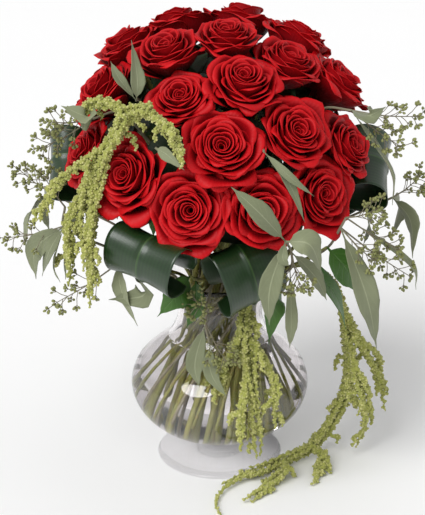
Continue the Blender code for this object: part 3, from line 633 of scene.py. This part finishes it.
# By sprig: the twig's waypoints, then each leaf as (waypoint it grows from, middle, tip, half width,
# turn about its length), with places as (degrees round, distance out, height) in millimetres.
SALAL = {
    "salal_front": {
        "stem": [(-15, 88, 226), (-15, 108, 238)],
        "leaves": [
            (1, (-19, 128, 224), (-25, 138, 205), 14, -20), (0, (-13, 104, 206), (-17, 110, 184), 11, 0),
        ],
    },
    "salal_right": {
        "stem": [(38, 92, 230), (40, 126, 252), (42, 146, 268)],
        "leaves": [
            (0, (27, 112, 206), (24, 112, 166), 14, 10), (2, (50, 156, 240), (59, 158, 206), 14, 0),
            (1, (54, 136, 206), (62, 138, 166), 9, -10),
        ],
    },
    "salal_back": {
        "stem": [(-156, 88, 226), (-158, 116, 240), (-160, 134, 246)],
        "leaves": [
            (2, (-154, 150, 224), (-151, 148, 184), 17, 10), (1, (-169, 142, 222), (-175, 138, 182), 16, -10),
        ],
    },
}
BOUQUET_MIDDLE = Vector((0, 0, 0.26))
OVAL_LEAF = [
    0.05, 0.10, 0.42, 0.68, 0.85, 0.95, 1.0, 1.0, 0.96, 0.88, 0.76, 0.60, 0.42, 0.26, 0.13, 0.05, 0.01]


def placed(place):
    """A place given as (degrees, millimetres out, millimetres up), in metres."""
    return polar(place[0], place[1] / 1000, place[2] / 1000)


def add_leaf(patch, root, plan, outline, fold, wave, dice):
    """A leaf from its place on the twig, by its middle, to its tip, facing out of the bouquet."""
    _, middle, tip, half, turn = plan
    count = len(outline)
    course = smooth([root, placed(middle), placed(tip)], 12)
    midrib = [course[round(i * (len(course) - 1) / (count - 1))] for i in range(count)]
    facing = []
    for i, point in enumerate(midrib):
        along = way_at(midrib, i)
        out = (point - BOUQUET_MIDDLE).normalized()
        flat = (out - along * out.dot(along)).normalized()
        angle = math.radians(turn + 16 * math.sin(i * 0.2 + turn))
        facing.append(flat * math.cos(angle) + along.cross(flat) * math.sin(angle))
    widths = [half / 1000 * share for share in outline]
    columns = 11
    patch.grid(leaf_grid(midrib, widths, facing, fold, wave, dice, columns),
               across=np.linspace(-1, 1, columns)[None, :], along=np.linspace(0, 1, count)[:, None],
               shade=dice.random())


def twig_path(name, waypoints, rings):
    """A sprig's course: its first rings from the CAD solid, then its own waypoints."""
    return [middle for middle, _ in spine(name, rings)] + [placed(p) for p in waypoints]


salal_leaf = Finish("salal_leaf", Specular_IOR_Level=0.5)
salal_green = salal_leaf.blend(salal_leaf.noise(34.0, 4.0), (0.026, 0.085, 0.008), (0.075, 0.20, 0.020))
salal_green = salal_leaf.blend(salal_leaf.carried("shade") * 0.5, salal_green, (0.040, 0.12, 0.016))
salal_rib = (1.0 - salal_leaf.carried("across").absolute() * 14.0).held()
salal_fan = salal_leaf.carried("along") * 52.0 - salal_leaf.carried("across").absolute() * 9.0
side_veins = (salal_fan.sine() - 0.72).held()
salal_green = salal_leaf.blend((salal_rib + side_veins * 1.6).held() * 0.30, salal_green, (0.13, 0.25, 0.06))
salal_leaf = salal_leaf.dress(
    colour=salal_green, roughness=0.30 + salal_leaf.noise(120.0) * 0.2,
    relief=(1.0 - (salal_rib + side_veins).held()) + salal_leaf.noise(320.0) * 0.25, depth=0.0004)

for sprig_name, plan in SALAL.items():
    dice = random.Random(sprig_name)
    path = twig_path(sprig_name, plan["stem"], 4)
    twig = Patchwork()
    course = smooth(path, 5)
    twig.grid(tube_grid(course, [SPRIG_RADIUS] * (len(course) - 3) + [SPRIG_RADIUS * 0.6] * 3, 8),
              closed=True, capped=True)
    leaves = Patchwork()
    for leaf in plan["leaves"]:
        add_leaf(leaves, placed(plan["stem"][leaf[0]]), leaf, OVAL_LEAF, 0.16, 0.05, dice)
    for piece in (twig.made(f"{sprig_name}_twig", stem_green),
                  leaves.made(f"{sprig_name}_leaves", salal_leaf, LEAF_THICKNESS)):
        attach(piece, "root")
        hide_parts(sprig_name)

# --- Seeded eucalyptus --------------------------------------------------------------------------
# Sprigs with long matt grey-green leaves and loose clusters of small olive buds on thin mauve stalks.
# Leaves are folded sheets; every bud is the same small club, set on its stalk's end by the sprig's tree.

BUD_RADIUS = 0.00142
BUD_LENGTH = 0.0019
STALK = 0.00038
SIDE_STALKS, BUDS_PER_STALK = 13, 5
# By sprig: how many of its first rings the CAD solid gives, then waypoints, leaves and seed clusters
# as (waypoint, end of the cluster's stalk). Places are as for the salal.
EUCALYPTUS = {
    "eucalyptus_left_low": {
        "rings": 4, "stem": [(-56, 112, 244), (-57, 150, 266), (-56, 174, 284), (-55, 174, 304)],
        "leaves": [
            (2, (-66, 190, 254), (-67, 190, 222), 11, -10), (2, (-60, 184, 257), (-67, 184, 224), 8, 10),
            (2, (-57, 184, 248), (-55, 182, 231), 5, 20), (1, (-59, 166, 250), (-59, 170, 227), 7, 0),
        ],
        "seeds": [(2, (-74, 208, 258)), (3, (-62, 184, 330))],
    },
    "eucalyptus_left_high": {
        "rings": 8, "stem": [(-54, 144, 383)],
        "leaves": [(0, (-48, 160, 391), (-53, 178, 402), 12, 20)],
        "seeds": [(0, (-53, 190, 389)), (0, (-58, 190, 361))],
    },
    "eucalyptus_front_left": {
        "rings": 4, "stem": [(-44, 98, 232), (-45, 122, 243), (-43, 138, 249)],
        "leaves": [
            (2, (-39, 146, 228), (-34, 138, 191), 9, 10), (1, (-30, 138, 226), (-44, 150, 215), 13, 20),
        ],
        "seeds": [(2, (-57, 182, 209))],
    },
    "eucalyptus_front_low": {
        "rings": 4, "stem": [(-5, 84, 224), (-6, 106, 212), (-7, 112, 192), (-5, 116, 174)],
        "leaves": [
            (2, (-12, 114, 152), (-10, 113, 126), 9, 15), (3, (-4, 122, 146), (3, 125, 122), 7, -10),
        ],
        "seeds": [(1, (-10, 122, 216)), (2, (2, 128, 162))],
    },
    "eucalyptus_front": {
        "rings": 4, "stem": [(28, 97, 229), (29, 132, 249), (24, 156, 276), (20, 168, 292)],
        "leaves": [
            (3, (11, 176, 324), (3, 170, 347), 10, 0), (3, (26, 180, 290), (31, 176, 258), 13, -10),
            (3, (15, 170, 250), (16, 160, 209), 10, 12), (3, (18, 177, 280), (20, 178, 272), 5, 0),
            (2, (33, 158, 248), (39, 156, 220), 9, -15), (1, (27, 144, 202), (28, 138, 172), 6, 0),
        ],
        "seeds": [(2, (24, 174, 250))],
    },
    "eucalyptus_right_low": {
        "rings": 4, "stem": [(48, 102, 236), (46, 138, 262), (43, 160, 290), (44, 164, 300)],
        "leaves": [(2, (48, 181, 225), (58, 176, 158), 12, 0), (3, (70, 192, 236), (76, 196, 200), 3, 0)],
        "seeds": [(3, (50, 184, 308)), (3, (60, 190, 262)), (2, (70, 192, 222)), (2, (50, 184, 258))],
    },
    "eucalyptus_right_high": {
        "rings": 8, "stem": [(56, 144, 390)],
        "leaves": [(0, (51, 168, 392), (53, 184, 402), 10, 30), (0, (58, 182, 338), (58, 186, 305), 9, -10)],
        "seeds": [(0, (64, 198, 386)), (0, (57, 192, 364))],
    },
    "eucalyptus_side_right": {
        "rings": 4, "stem": [(98, 104, 240), (98, 146, 258), (96, 172, 272)],
        "leaves": [
            (2, (104, 188, 252), (110, 188, 212), 12, 10), (2, (90, 188, 254), (84, 190, 222), 11, -10),
            (1, (108, 160, 236), (112, 160, 206), 12, 0),
        ],
        "seeds": [(2, (98, 200, 290))],
    },
    "eucalyptus_side_left": {
        "rings": 4, "stem": [(-102, 104, 240), (-102, 146, 258), (-100, 172, 274)],
        "leaves": [
            (2, (-108, 188, 254), (-112, 190, 216), 12, 10), (2, (-92, 188, 256), (-86, 192, 226), 11, -10),
            (1, (-112, 160, 238), (-116, 160, 206), 12, 0),
        ],
        "seeds": [(2, (-102, 204, 292))],
    },
    "eucalyptus_back": {
        "rings": 4, "stem": [(174, 104, 242), (174, 148, 262), (172, 168, 282)],
        "leaves": [
            (1, (188, 160, 240), (196, 162, 206), 13, 10), (2, (164, 180, 258), (158, 178, 222), 13, -10),
            (2, (184, 180, 300), (192, 176, 318), 11, 0),
        ],
        "seeds": [(2, (168, 196, 300))],
    },
    "eucalyptus_top": {
        "rings": 8, "stem": [(-40, 118, 402)],
        "leaves": [(0, (-42, 112, 422), (-58, 96, 448), 7, 60), (0, (-51, 118, 418), (-60, 116, 430), 5, 20)],
        "seeds": [],
    },
    "eucalyptus_mid": {
        "rings": 8, "stem": [(-24, 142, 370)],
        "leaves": [(0, (-18, 150, 367), (-12, 154, 356), 6, 30)],
        "seeds": [],
    },
    "eucalyptus_centre": {
        "rings": 8, "stem": [(15, 146, 370)],
        "leaves": [(0, (21, 166, 352), (29, 170, 331), 4, 30), (0, (22, 162, 342), (26, 170, 308), 5, -20)],
        "seeds": [],
    },
}
LONG_LEAF = [
    0.06, 0.07, 0.24, 0.50, 0.72, 0.87, 0.96, 1.0, 0.99, 0.93, 0.83, 0.70, 0.55, 0.39, 0.24, 0.10, 0.01]


class Tree:
    """A Geometry Nodes tree, built node by node, with named inputs for its sizes."""

    def __init__(self, name):
        self.tree = bpy.data.node_groups.new(name, "GeometryNodeTree")
        self.tree.interface.new_socket("Geometry", in_out="OUTPUT", socket_type="NodeSocketGeometry")
        self.inputs = {}
        self.ask("Geometry", "NodeSocketGeometry", None)
        self.source = self.tree.nodes.new("NodeGroupInput")
        self.result = self.tree.nodes.new("NodeGroupOutput")

    def ask(self, name, kind, value):
        """Adds a named input with its value."""
        socket = self.tree.interface.new_socket(name, in_out="INPUT", socket_type=kind)
        self.inputs[name] = (socket.identifier, value)

    def node(self, kind, settings, sockets, output=0):
        made = self.tree.nodes.new(kind)
        for setting, value in settings.items():
            setattr(made, setting, value)
        for socket, value in sockets.items():
            if isinstance(value, bpy.types.NodeSocket):
                self.tree.links.new(value, made.inputs[socket])
            elif value is not None:
                made.inputs[socket].default_value = value
        return made.outputs[output]

    def grown(self, piece, material, geometry):
        """Ends the tree, runs it on the piece and leaves a plain mesh."""
        real = self.node("GeometryNodeRealizeInstances", {}, {"Geometry": geometry})
        real = self.node("GeometryNodeSetMaterial", {}, {"Geometry": real, "Material": material})
        self.tree.links.new(real, self.result.inputs[0])
        grower = piece.modifiers.new("grow", "NODES")
        grower.node_group = self.tree
        for identifier, value in self.inputs.values():
            if value is not None:
                grower[identifier] = value
        graph = bpy.context.evaluated_depsgraph_get()
        piece.data = bpy.data.meshes.new_from_object(piece.evaluated_get(graph))
        piece.modifiers.clear()
        return piece


def seed_cluster(stalks, buds, start, end, dice):
    """A loose cluster: a thin stalk with side stalks, each ending in a few buds."""
    way = end - start
    across = way.cross(Vector((0, 0, 1))).normalized()
    over = way.cross(across).normalized()
    main = smooth([start, start + way * 0.5 - Vector((0, 0, 0.002)), end], 6)
    stalks.grid(tube_grid(main, np.linspace(0.0009, STALK, len(main)), 5), closed=True, capped=True)
    ends = [(main[-1], way.normalized())]
    for k in range(SIDE_STALKS):
        share = 0.30 + 0.68 * k / (SIDE_STALKS - 1)
        root = main[round(share * (len(main) - 1))]
        turn = k * 2.4 + dice.uniform(-0.4, 0.4)
        sideways = spoke(across, over, turn)
        length = 0.0150 * (1.15 - 0.5 * share) * dice.uniform(0.7, 1.2)
        tip = root + (sideways * 0.85 + way.normalized() * 0.65) * length
        bend = root.lerp(tip, 0.5) + way.normalized() * 0.0008
        stalks.grid(tube_grid([root, bend, tip], [STALK] * 3, 5), closed=True, capped=True)
        ends.append((tip, (tip - root).normalized()))
    for tip, heading in ends:
        sideways = heading.orthogonal().normalized()
        other = heading.cross(sideways)
        for k in range(BUDS_PER_STALK):
            turn = k * 1.257 + dice.uniform(-0.3, 0.3)
            lean = 0.0 if k == BUDS_PER_STALK - 1 else 0.95
            point_way = (heading + spoke(sideways, other, turn) * lean).normalized()
            far = tip + point_way * dice.uniform(0.0030, 0.0056)
            stalks.grid(tube_grid([tip, far], [STALK * 0.8] * 2, 4), closed=True, capped=True)
            buds.append((far, point_way))


def set_buds(name, buds, material):
    """The buds of a sprig: one club-shaped seed on each of the given points, along its direction."""
    mesh = bpy.data.meshes.new(name)
    mesh.from_pydata([point for point, _ in buds], [], [])
    heading = mesh.attributes.new("heading", "FLOAT_VECTOR", "POINT")
    heading.data.foreach_set("vector", [c for _, way in buds for c in way])
    piece = added(name, mesh)
    tree = Tree("bud_setter")
    tree.ask("Bud radius", "NodeSocketFloat", BUD_RADIUS)
    tree.ask("Bud length", "NodeSocketFloat", BUD_LENGTH)
    ball = tree.node("GeometryNodeMeshUVSphere", {}, {"Segments": 7, "Rings": 5, "Radius": 1.0})
    ways = tree.node("GeometryNodeInputNamedAttribute", {"data_type": "FLOAT_VECTOR"}, {"Name": "heading"})
    aim = tree.node("FunctionNodeAlignEulerToVector", {"axis": "Z"}, {"Vector": ways})
    radius, length = tree.source.outputs["Bud radius"], tree.source.outputs["Bud length"]
    sizes = tree.node("ShaderNodeCombineXYZ", {}, {"X": radius, "Y": radius, "Z": length})
    vary = tree.node("FunctionNodeRandomValue", {"data_type": "FLOAT"}, {2: 0.75, 3: 1.15, "Seed": 4}, 1)
    sizes = tree.node("ShaderNodeVectorMath", {"operation": "SCALE"}, {0: sizes, "Scale": vary})
    setting = tree.node("GeometryNodeInstanceOnPoints", {}, {
        "Points": tree.source.outputs["Geometry"], "Instance": ball, "Rotation": aim, "Scale": sizes})
    return tree.grown(piece, material, setting)


eucalyptus_leaf = Finish("eucalyptus_leaf", Specular_IOR_Level=0.35, Sheen_Weight=0.12, Sheen_Roughness=0.5)
grey_green = eucalyptus_leaf.blend(
    eucalyptus_leaf.noise(30.0, 4.0), (0.150, 0.170, 0.090), (0.300, 0.325, 0.195))
grey_green = eucalyptus_leaf.blend(eucalyptus_leaf.carried("shade") * 0.6, grey_green, (0.120, 0.138, 0.072))
leaf_rib = (1.0 - eucalyptus_leaf.carried("across").absolute() * 11.0).held()
fan = eucalyptus_leaf.carried("along") * 60.0 - eucalyptus_leaf.carried("across").absolute() * 14.0
leaf_veins = (fan.sine() - 0.62).held()
pale_lines = (leaf_rib + leaf_veins * 0.25).held() * 0.45
grey_green = eucalyptus_leaf.blend(pale_lines, grey_green, (0.42, 0.45, 0.29))
eucalyptus_leaf = eucalyptus_leaf.dress(
    colour=grey_green, roughness=0.50 + eucalyptus_leaf.noise(110.0) * 0.2,
    relief=leaf_rib - leaf_veins * 0.3 + eucalyptus_leaf.noise(350.0) * 0.3, depth=0.0002)

seed_olive = Finish("eucalyptus_seed", Specular_IOR_Level=0.4)
olive = seed_olive.blend(seed_olive.noise(260.0), (0.14, 0.155, 0.045), (0.30, 0.31, 0.12))
seed_olive = seed_olive.dress(colour=olive, roughness=0.5 + seed_olive.noise(300.0) * 0.2,
                              relief=seed_olive.noise(1400.0), depth=0.0002)
mauve_stalk = Finish("eucalyptus_stalk", Specular_IOR_Level=0.4)
mauve = mauve_stalk.blend(mauve_stalk.noise(70.0), (0.16, 0.12, 0.085), (0.24, 0.24, 0.15))
mauve_stalk = mauve_stalk.dress(colour=mauve, roughness=0.45 + mauve_stalk.noise(90.0) * 0.2,
                                relief=mauve_stalk.noise(500.0), depth=0.0002)

for sprig_name, plan in EUCALYPTUS.items():
    dice = random.Random(sprig_name)
    path = smooth(twig_path(sprig_name, plan["stem"], plan["rings"]), 5)
    stalks, leaves, buds = Patchwork(), Patchwork(), []
    stalks.grid(tube_grid(path, np.linspace(SPRIG_RADIUS, SPRIG_RADIUS * 0.7, len(path)), 8),
                closed=True, capped=True)
    for leaf in plan["leaves"]:
        add_leaf(leaves, placed(plan["stem"][leaf[0]]), leaf, LONG_LEAF, 0.22, 0.07, dice)
    for at, end in plan["seeds"]:
        seed_cluster(stalks, buds, placed(plan["stem"][at]), placed(end), dice)
    pieces = [stalks.made(f"{sprig_name}_stalks", mauve_stalk),
              leaves.made(f"{sprig_name}_leaves", eucalyptus_leaf, LEAF_THICKNESS)]
    if buds:
        pieces.append(set_buds(f"{sprig_name}_seeds", buds, seed_olive))
    for piece in pieces:
        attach(piece, "root")
        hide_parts(sprig_name)

# --- Amaranthus ---------------------------------------------------------------------------------
# Hanging green amaranthus: bundles of thin knobbly strands of tiny packed flowers, with short tassels.
# Each strand is a lumpy core; the tree scatters small flowers all over the spray's cores as one mesh.

STRAND_RADIUS = 0.0021
TASSELS_PER_STRAND = 1.2
STRAND_SIDES = 6
KINK = 0.0013
KNOT_WAVE, SMALL_WAVE, KINK_WAVE = 420, 1130, 640
FLORET_RADIUS = 0.00125
FLORET_SPACING = 0.00215
# By spray: how many rings the CAD solid gives, then its ropes as (how many strands, how far they spread,
# waypoints). A place is (degrees round, distance out, height) in millimetres, as for the salal.
AMARANTHUS = {
    "amaranthus_left": {
        "rings": 8,
        "ropes": [
            (10, 9.5, [(-27, 134, 399), (-36, 136, 394), (-42, 148, 368), (-46, 158, 338), (-48, 164, 300),
                      (-49, 165, 262), (-48, 164, 208)]),
            (5, 6.5, [(-46, 158, 338), (-52, 172, 300), (-54, 174, 262), (-55, 172, 226)]),
            (4, 6.0, [(-46, 158, 330), (-43, 172, 290), (-43, 172, 250), (-43, 170, 222)]),
            (4, 5.0, [(-36, 136, 394), (-42, 146, 405), (-49, 154, 400), (-52, 158, 386)]),
            (4, 5.0, [(-27, 134, 399), (-20, 146, 394), (-15, 150, 378), (-14, 150, 362)]),
            (3, 5.0, [(-42, 148, 368), (-51, 178, 340), (-55, 190, 318), (-56, 190, 298)]),
        ],
    },
    "amaranthus_front": {
        "rings": 4,
        "ropes": [
            (7, 8.5, [(16, 92, 219), (13, 107, 204), (13, 114, 165), (15, 117, 124), (17, 114, 84),
                      (20, 110, 44)]),
            (3, 5.5, [(13, 110, 190), (4, 113, 158), (-1, 111, 130), (-2, 108, 106)]),
            (3, 5.5, [(13, 112, 176), (23, 121, 140), (27, 119, 108), (28, 116, 78)]),
            (3, 3.5, [(13, 114, 150), (10, 122, 118), (9, 120, 88), (10, 117, 62)]),
        ],
    },
    "amaranthus_right": {
        "rings": 4,
        "ropes": [
            (6, 7.5, [(61, 96, 226), (62, 122, 212), (70, 128, 176), (77, 130, 139), (82, 132, 104),
                      (85, 127, 70), (85, 114, 38), (78, 96, 15), (58, 77, 9), (36, 74, 8), (16, 76, 8),
                      (2, 92, 6), (-2, 116, 5), (0, 139, 4)]),
            (5, 7.0, [(70, 128, 176), (76, 142, 140), (84, 158, 104), (88, 168, 72), (88, 170, 48)]),
            (4, 6.0, [(77, 130, 139), (70, 146, 112), (72, 152, 80), (74, 150, 52)]),
            (3, 5.0, [(85, 127, 70), (88, 146, 52), (86, 148, 32), (84, 140, 12)]),
            (4, 6.0, [(78, 96, 15), (72, 112, 9), (60, 114, 6), (50, 122, 5)]),
            (4, 6.0, [(58, 77, 9), (44, 92, 8), (26, 98, 6), (12, 116, 5)]),
        ],
    },
}


def knobbly_strand(patch, points, dice):
    """One strand through the points: a thin core, thick and thin by turns, kinked, with a tapered end."""
    phase = [dice.uniform(*ANY_TURN) for _ in range(3)]
    travelled, rows = 0.0, []
    for i, (_, side, over) in enumerate(carried_frames(points)):
        travelled += (points[i] - points[i - 1]).length if i else 0.0
        left = 1 - i / (len(points) - 1)
        knots = 0.50 + 0.85 * abs(math.sin(travelled * KNOT_WAVE + phase[0]))
        knots += 0.22 * math.sin(travelled * SMALL_WAVE + phase[1])
        thick = STRAND_RADIUS * knots * min(0.35 + 2.2 * left, 1.0)
        middle = points[i] + side * KINK * math.sin(travelled * KINK_WAVE + phase[2])
        middle.z = max(middle.z, thick + FLORET_RADIUS)
        turns = [2 * math.pi * j / STRAND_SIDES for j in range(STRAND_SIDES)]
        rows.append([middle + spoke(side, over, turn) * thick for turn in turns])
    patch.grid(np.array(rows), closed=True, capped=True)


def hung_strands(patch, count, spread, waypoints, dice):
    """A bundle of strands that drift apart and end at different lengths, with short side tassels."""
    points = smooth(waypoints, 22)
    frames = carried_frames(points)
    strands = []
    for k in range(count):
        phase = [dice.uniform(*ANY_TURN) for _ in range(2)]
        off = spread * math.sqrt((k + 0.4) / count)
        last = round(len(points) * (dice.uniform(0.66, 1.0) if k else 1.0))
        strand = []
        for i in range(last):
            _, side, over = frames[i]
            share = i / (len(points) - 1)
            around = 2.4 * k + 0.9 * math.sin(share * 6 + phase[0])
            apart = off * min(0.55 + 1.2 * share, 1.0) * (0.85 + 0.3 * math.sin(share * 12 + phase[1]))
            strand.append(points[i] + spoke(side, over, around) * apart)
        strands.append(strand)
        knobbly_strand(patch, strand, dice)
    for _ in range(round(TASSELS_PER_STRAND * count)):
        strand = dice.choice(strands)
        start = strand[round(len(strand) * dice.uniform(0.15, 0.92)) - 1]
        turn = dice.uniform(0, 2 * math.pi)
        out = Vector((math.cos(turn), math.sin(turn), 0)) * dice.uniform(0.006, 0.012)
        fall = Vector((0, 0, -dice.uniform(0.010, 0.020)))
        knobbly_strand(patch, smooth([start, start + out + fall * 0.3, start + out * 1.3 + fall], 7), dice)


def grow_florets(core, material):
    """Scatters small round flowers over the rope's core, and keeps the core under them."""
    tree = Tree("floret_scatter")
    tree.ask("Floret radius", "NodeSocketFloat", FLORET_RADIUS)
    tree.ask("Floret spacing", "NodeSocketFloat", FLORET_SPACING)
    body = tree.source.outputs["Geometry"]
    seats = tree.node("GeometryNodeDistributePointsOnFaces", {"distribute_method": "POISSON"}, {
        "Mesh": body, "Distance Min": tree.source.outputs["Floret spacing"],
        "Density Max": 600000.0, "Seed": 3})
    knob = tree.node("GeometryNodeMeshIcoSphere", {}, {
        "Radius": tree.source.outputs["Floret radius"], "Subdivisions": 1})
    turn = tree.node("FunctionNodeRandomValue", {"data_type": "FLOAT_VECTOR"}, {
        0: (0, 0, 0), 1: (6.3, 6.3, 6.3), "Seed": 5})
    size = tree.node("FunctionNodeRandomValue", {"data_type": "FLOAT"}, {2: 0.65, 3: 1.25, "Seed": 6}, 1)
    flowers = tree.node("GeometryNodeInstanceOnPoints", {}, {
        "Points": seats, "Instance": knob, "Rotation": turn, "Scale": size})
    # A random paleness for each floret, which the material uses partly for their own mixed tone, partly as a
    # painted highlight.
    tint = tree.node("FunctionNodeRandomValue", {"data_type": "FLOAT"}, {2: 0.0, 3: 1.0, "Seed": 7}, 1)
    flowers = tree.node("GeometryNodeStoreNamedAttribute", {"data_type": "FLOAT", "domain": "INSTANCE"}, {
        "Geometry": flowers, "Name": "tint", "Value": tint})
    both = tree.tree.nodes.new("GeometryNodeJoinGeometry")
    tree.tree.links.new(body, both.inputs[0])
    tree.tree.links.new(flowers, both.inputs[0])
    return tree.grown(core, material, both.outputs[0])


amaranthus_green = Finish("amaranthus_green", Sheen_Weight=0.2, Sheen_Roughness=0.6, Specular_IOR_Level=0.2)
rope_colour = amaranthus_green.blend(amaranthus_green.noise(60.0), (0.22, 0.25, 0.040), (0.43, 0.44, 0.110))
# Florets painted paler at random: partly their own mixed tone, partly a painted highlight.
rope_colour = amaranthus_green.blend(amaranthus_green.carried("tint") * 0.8, rope_colour, (0.60, 0.58, 0.24))
amaranthus_green = amaranthus_green.dress(
    colour=rope_colour, roughness=0.7 + amaranthus_green.noise(200.0) * 0.2,
    relief=amaranthus_green.noise(1500.0), depth=0.0003)

for spray_name, plan in AMARANTHUS.items():
    dice = random.Random(spray_name)
    core = Patchwork()
    for count, spread, places in plan["ropes"]:
        hung_strands(core, count, 0.001 * spread, [placed(p) for p in places], dice)
    flowers = grow_florets(core.made(f"{spray_name}_flowers", amaranthus_green), amaranthus_green)
    stalk = Patchwork()
    path = smooth(twig_path(spray_name, plan["ropes"][0][2][:1], plan["rings"]), 5)
    stalk.grid(tube_grid(path, [SPRIG_RADIUS] * len(path), 8), closed=True, capped=True)
    for piece in (flowers, stalk.made(f"{spray_name}_stalk", stem_green)):
        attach(piece, "root")
        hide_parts(spray_name)

# --- Table, light and camera --------------------------------------------------------------------
# A plain white table that runs on past the view, under a broad soft light from the upper left.

TABLE_HALF = 6.0
ROOM_STRENGTH = 0.58
WINDOW_STRENGTH, WINDOW_BREADTH = 2.3, 40
WINDOW_SHINES = Vector((0.55, 0.75, -0.9))
CAMERA_PLACE, CAMERA_DIP = (-0.0073, -1.5, 0.8), 21.3
SENSOR_HEIGHT, LENS_LENGTH = 36.0, 113.2

table_mesh = bpy.data.meshes.new("table")
table_corners = [(x * TABLE_HALF, y * TABLE_HALF, 0) for x, y in ((-1, -1), (1, -1), (1, 1), (-1, 1))]
table_mesh.from_pydata(table_corners, [], [(0, 1, 2, 3)])
table = added("table", table_mesh)
table_white = Finish("table_white")
table_tone = table_white.blend(table_white.noise(3.0), (0.94, 0.94, 0.94), (0.96, 0.96, 0.96))
table_white = table_white.dress(colour=table_tone, roughness=0.6 + table_white.noise(40.0) * 0.05)
table_mesh.materials.append(table_white)

room = bpy.data.worlds.new("soft_room")
room.use_nodes = True
room.node_tree.nodes["Background"].inputs["Color"].default_value = (1.0, 1.0, 1.0, 1.0)
room.node_tree.nodes["Background"].inputs["Strength"].default_value = ROOM_STRENGTH
bpy.context.scene.world = room

window = bpy.data.lights.new("window_light", "SUN")
window.energy, window.angle = WINDOW_STRENGTH, math.radians(WINDOW_BREADTH)
window_holder = added("window_light", window)
window_holder.rotation_euler = WINDOW_SHINES.to_track_quat("-Z", "Y").to_euler()

lens = bpy.data.cameras.new("camera")
lens.sensor_fit = "VERTICAL"
lens.sensor_height = SENSOR_HEIGHT
lens.lens = LENS_LENGTH
camera = added("camera", lens)
camera.location = CAMERA_PLACE
camera.rotation_euler = (math.radians(90 - CAMERA_DIP), 0, 0)
bpy.context.scene.camera = camera
bpy.context.scene.view_settings.view_transform = "Standard"
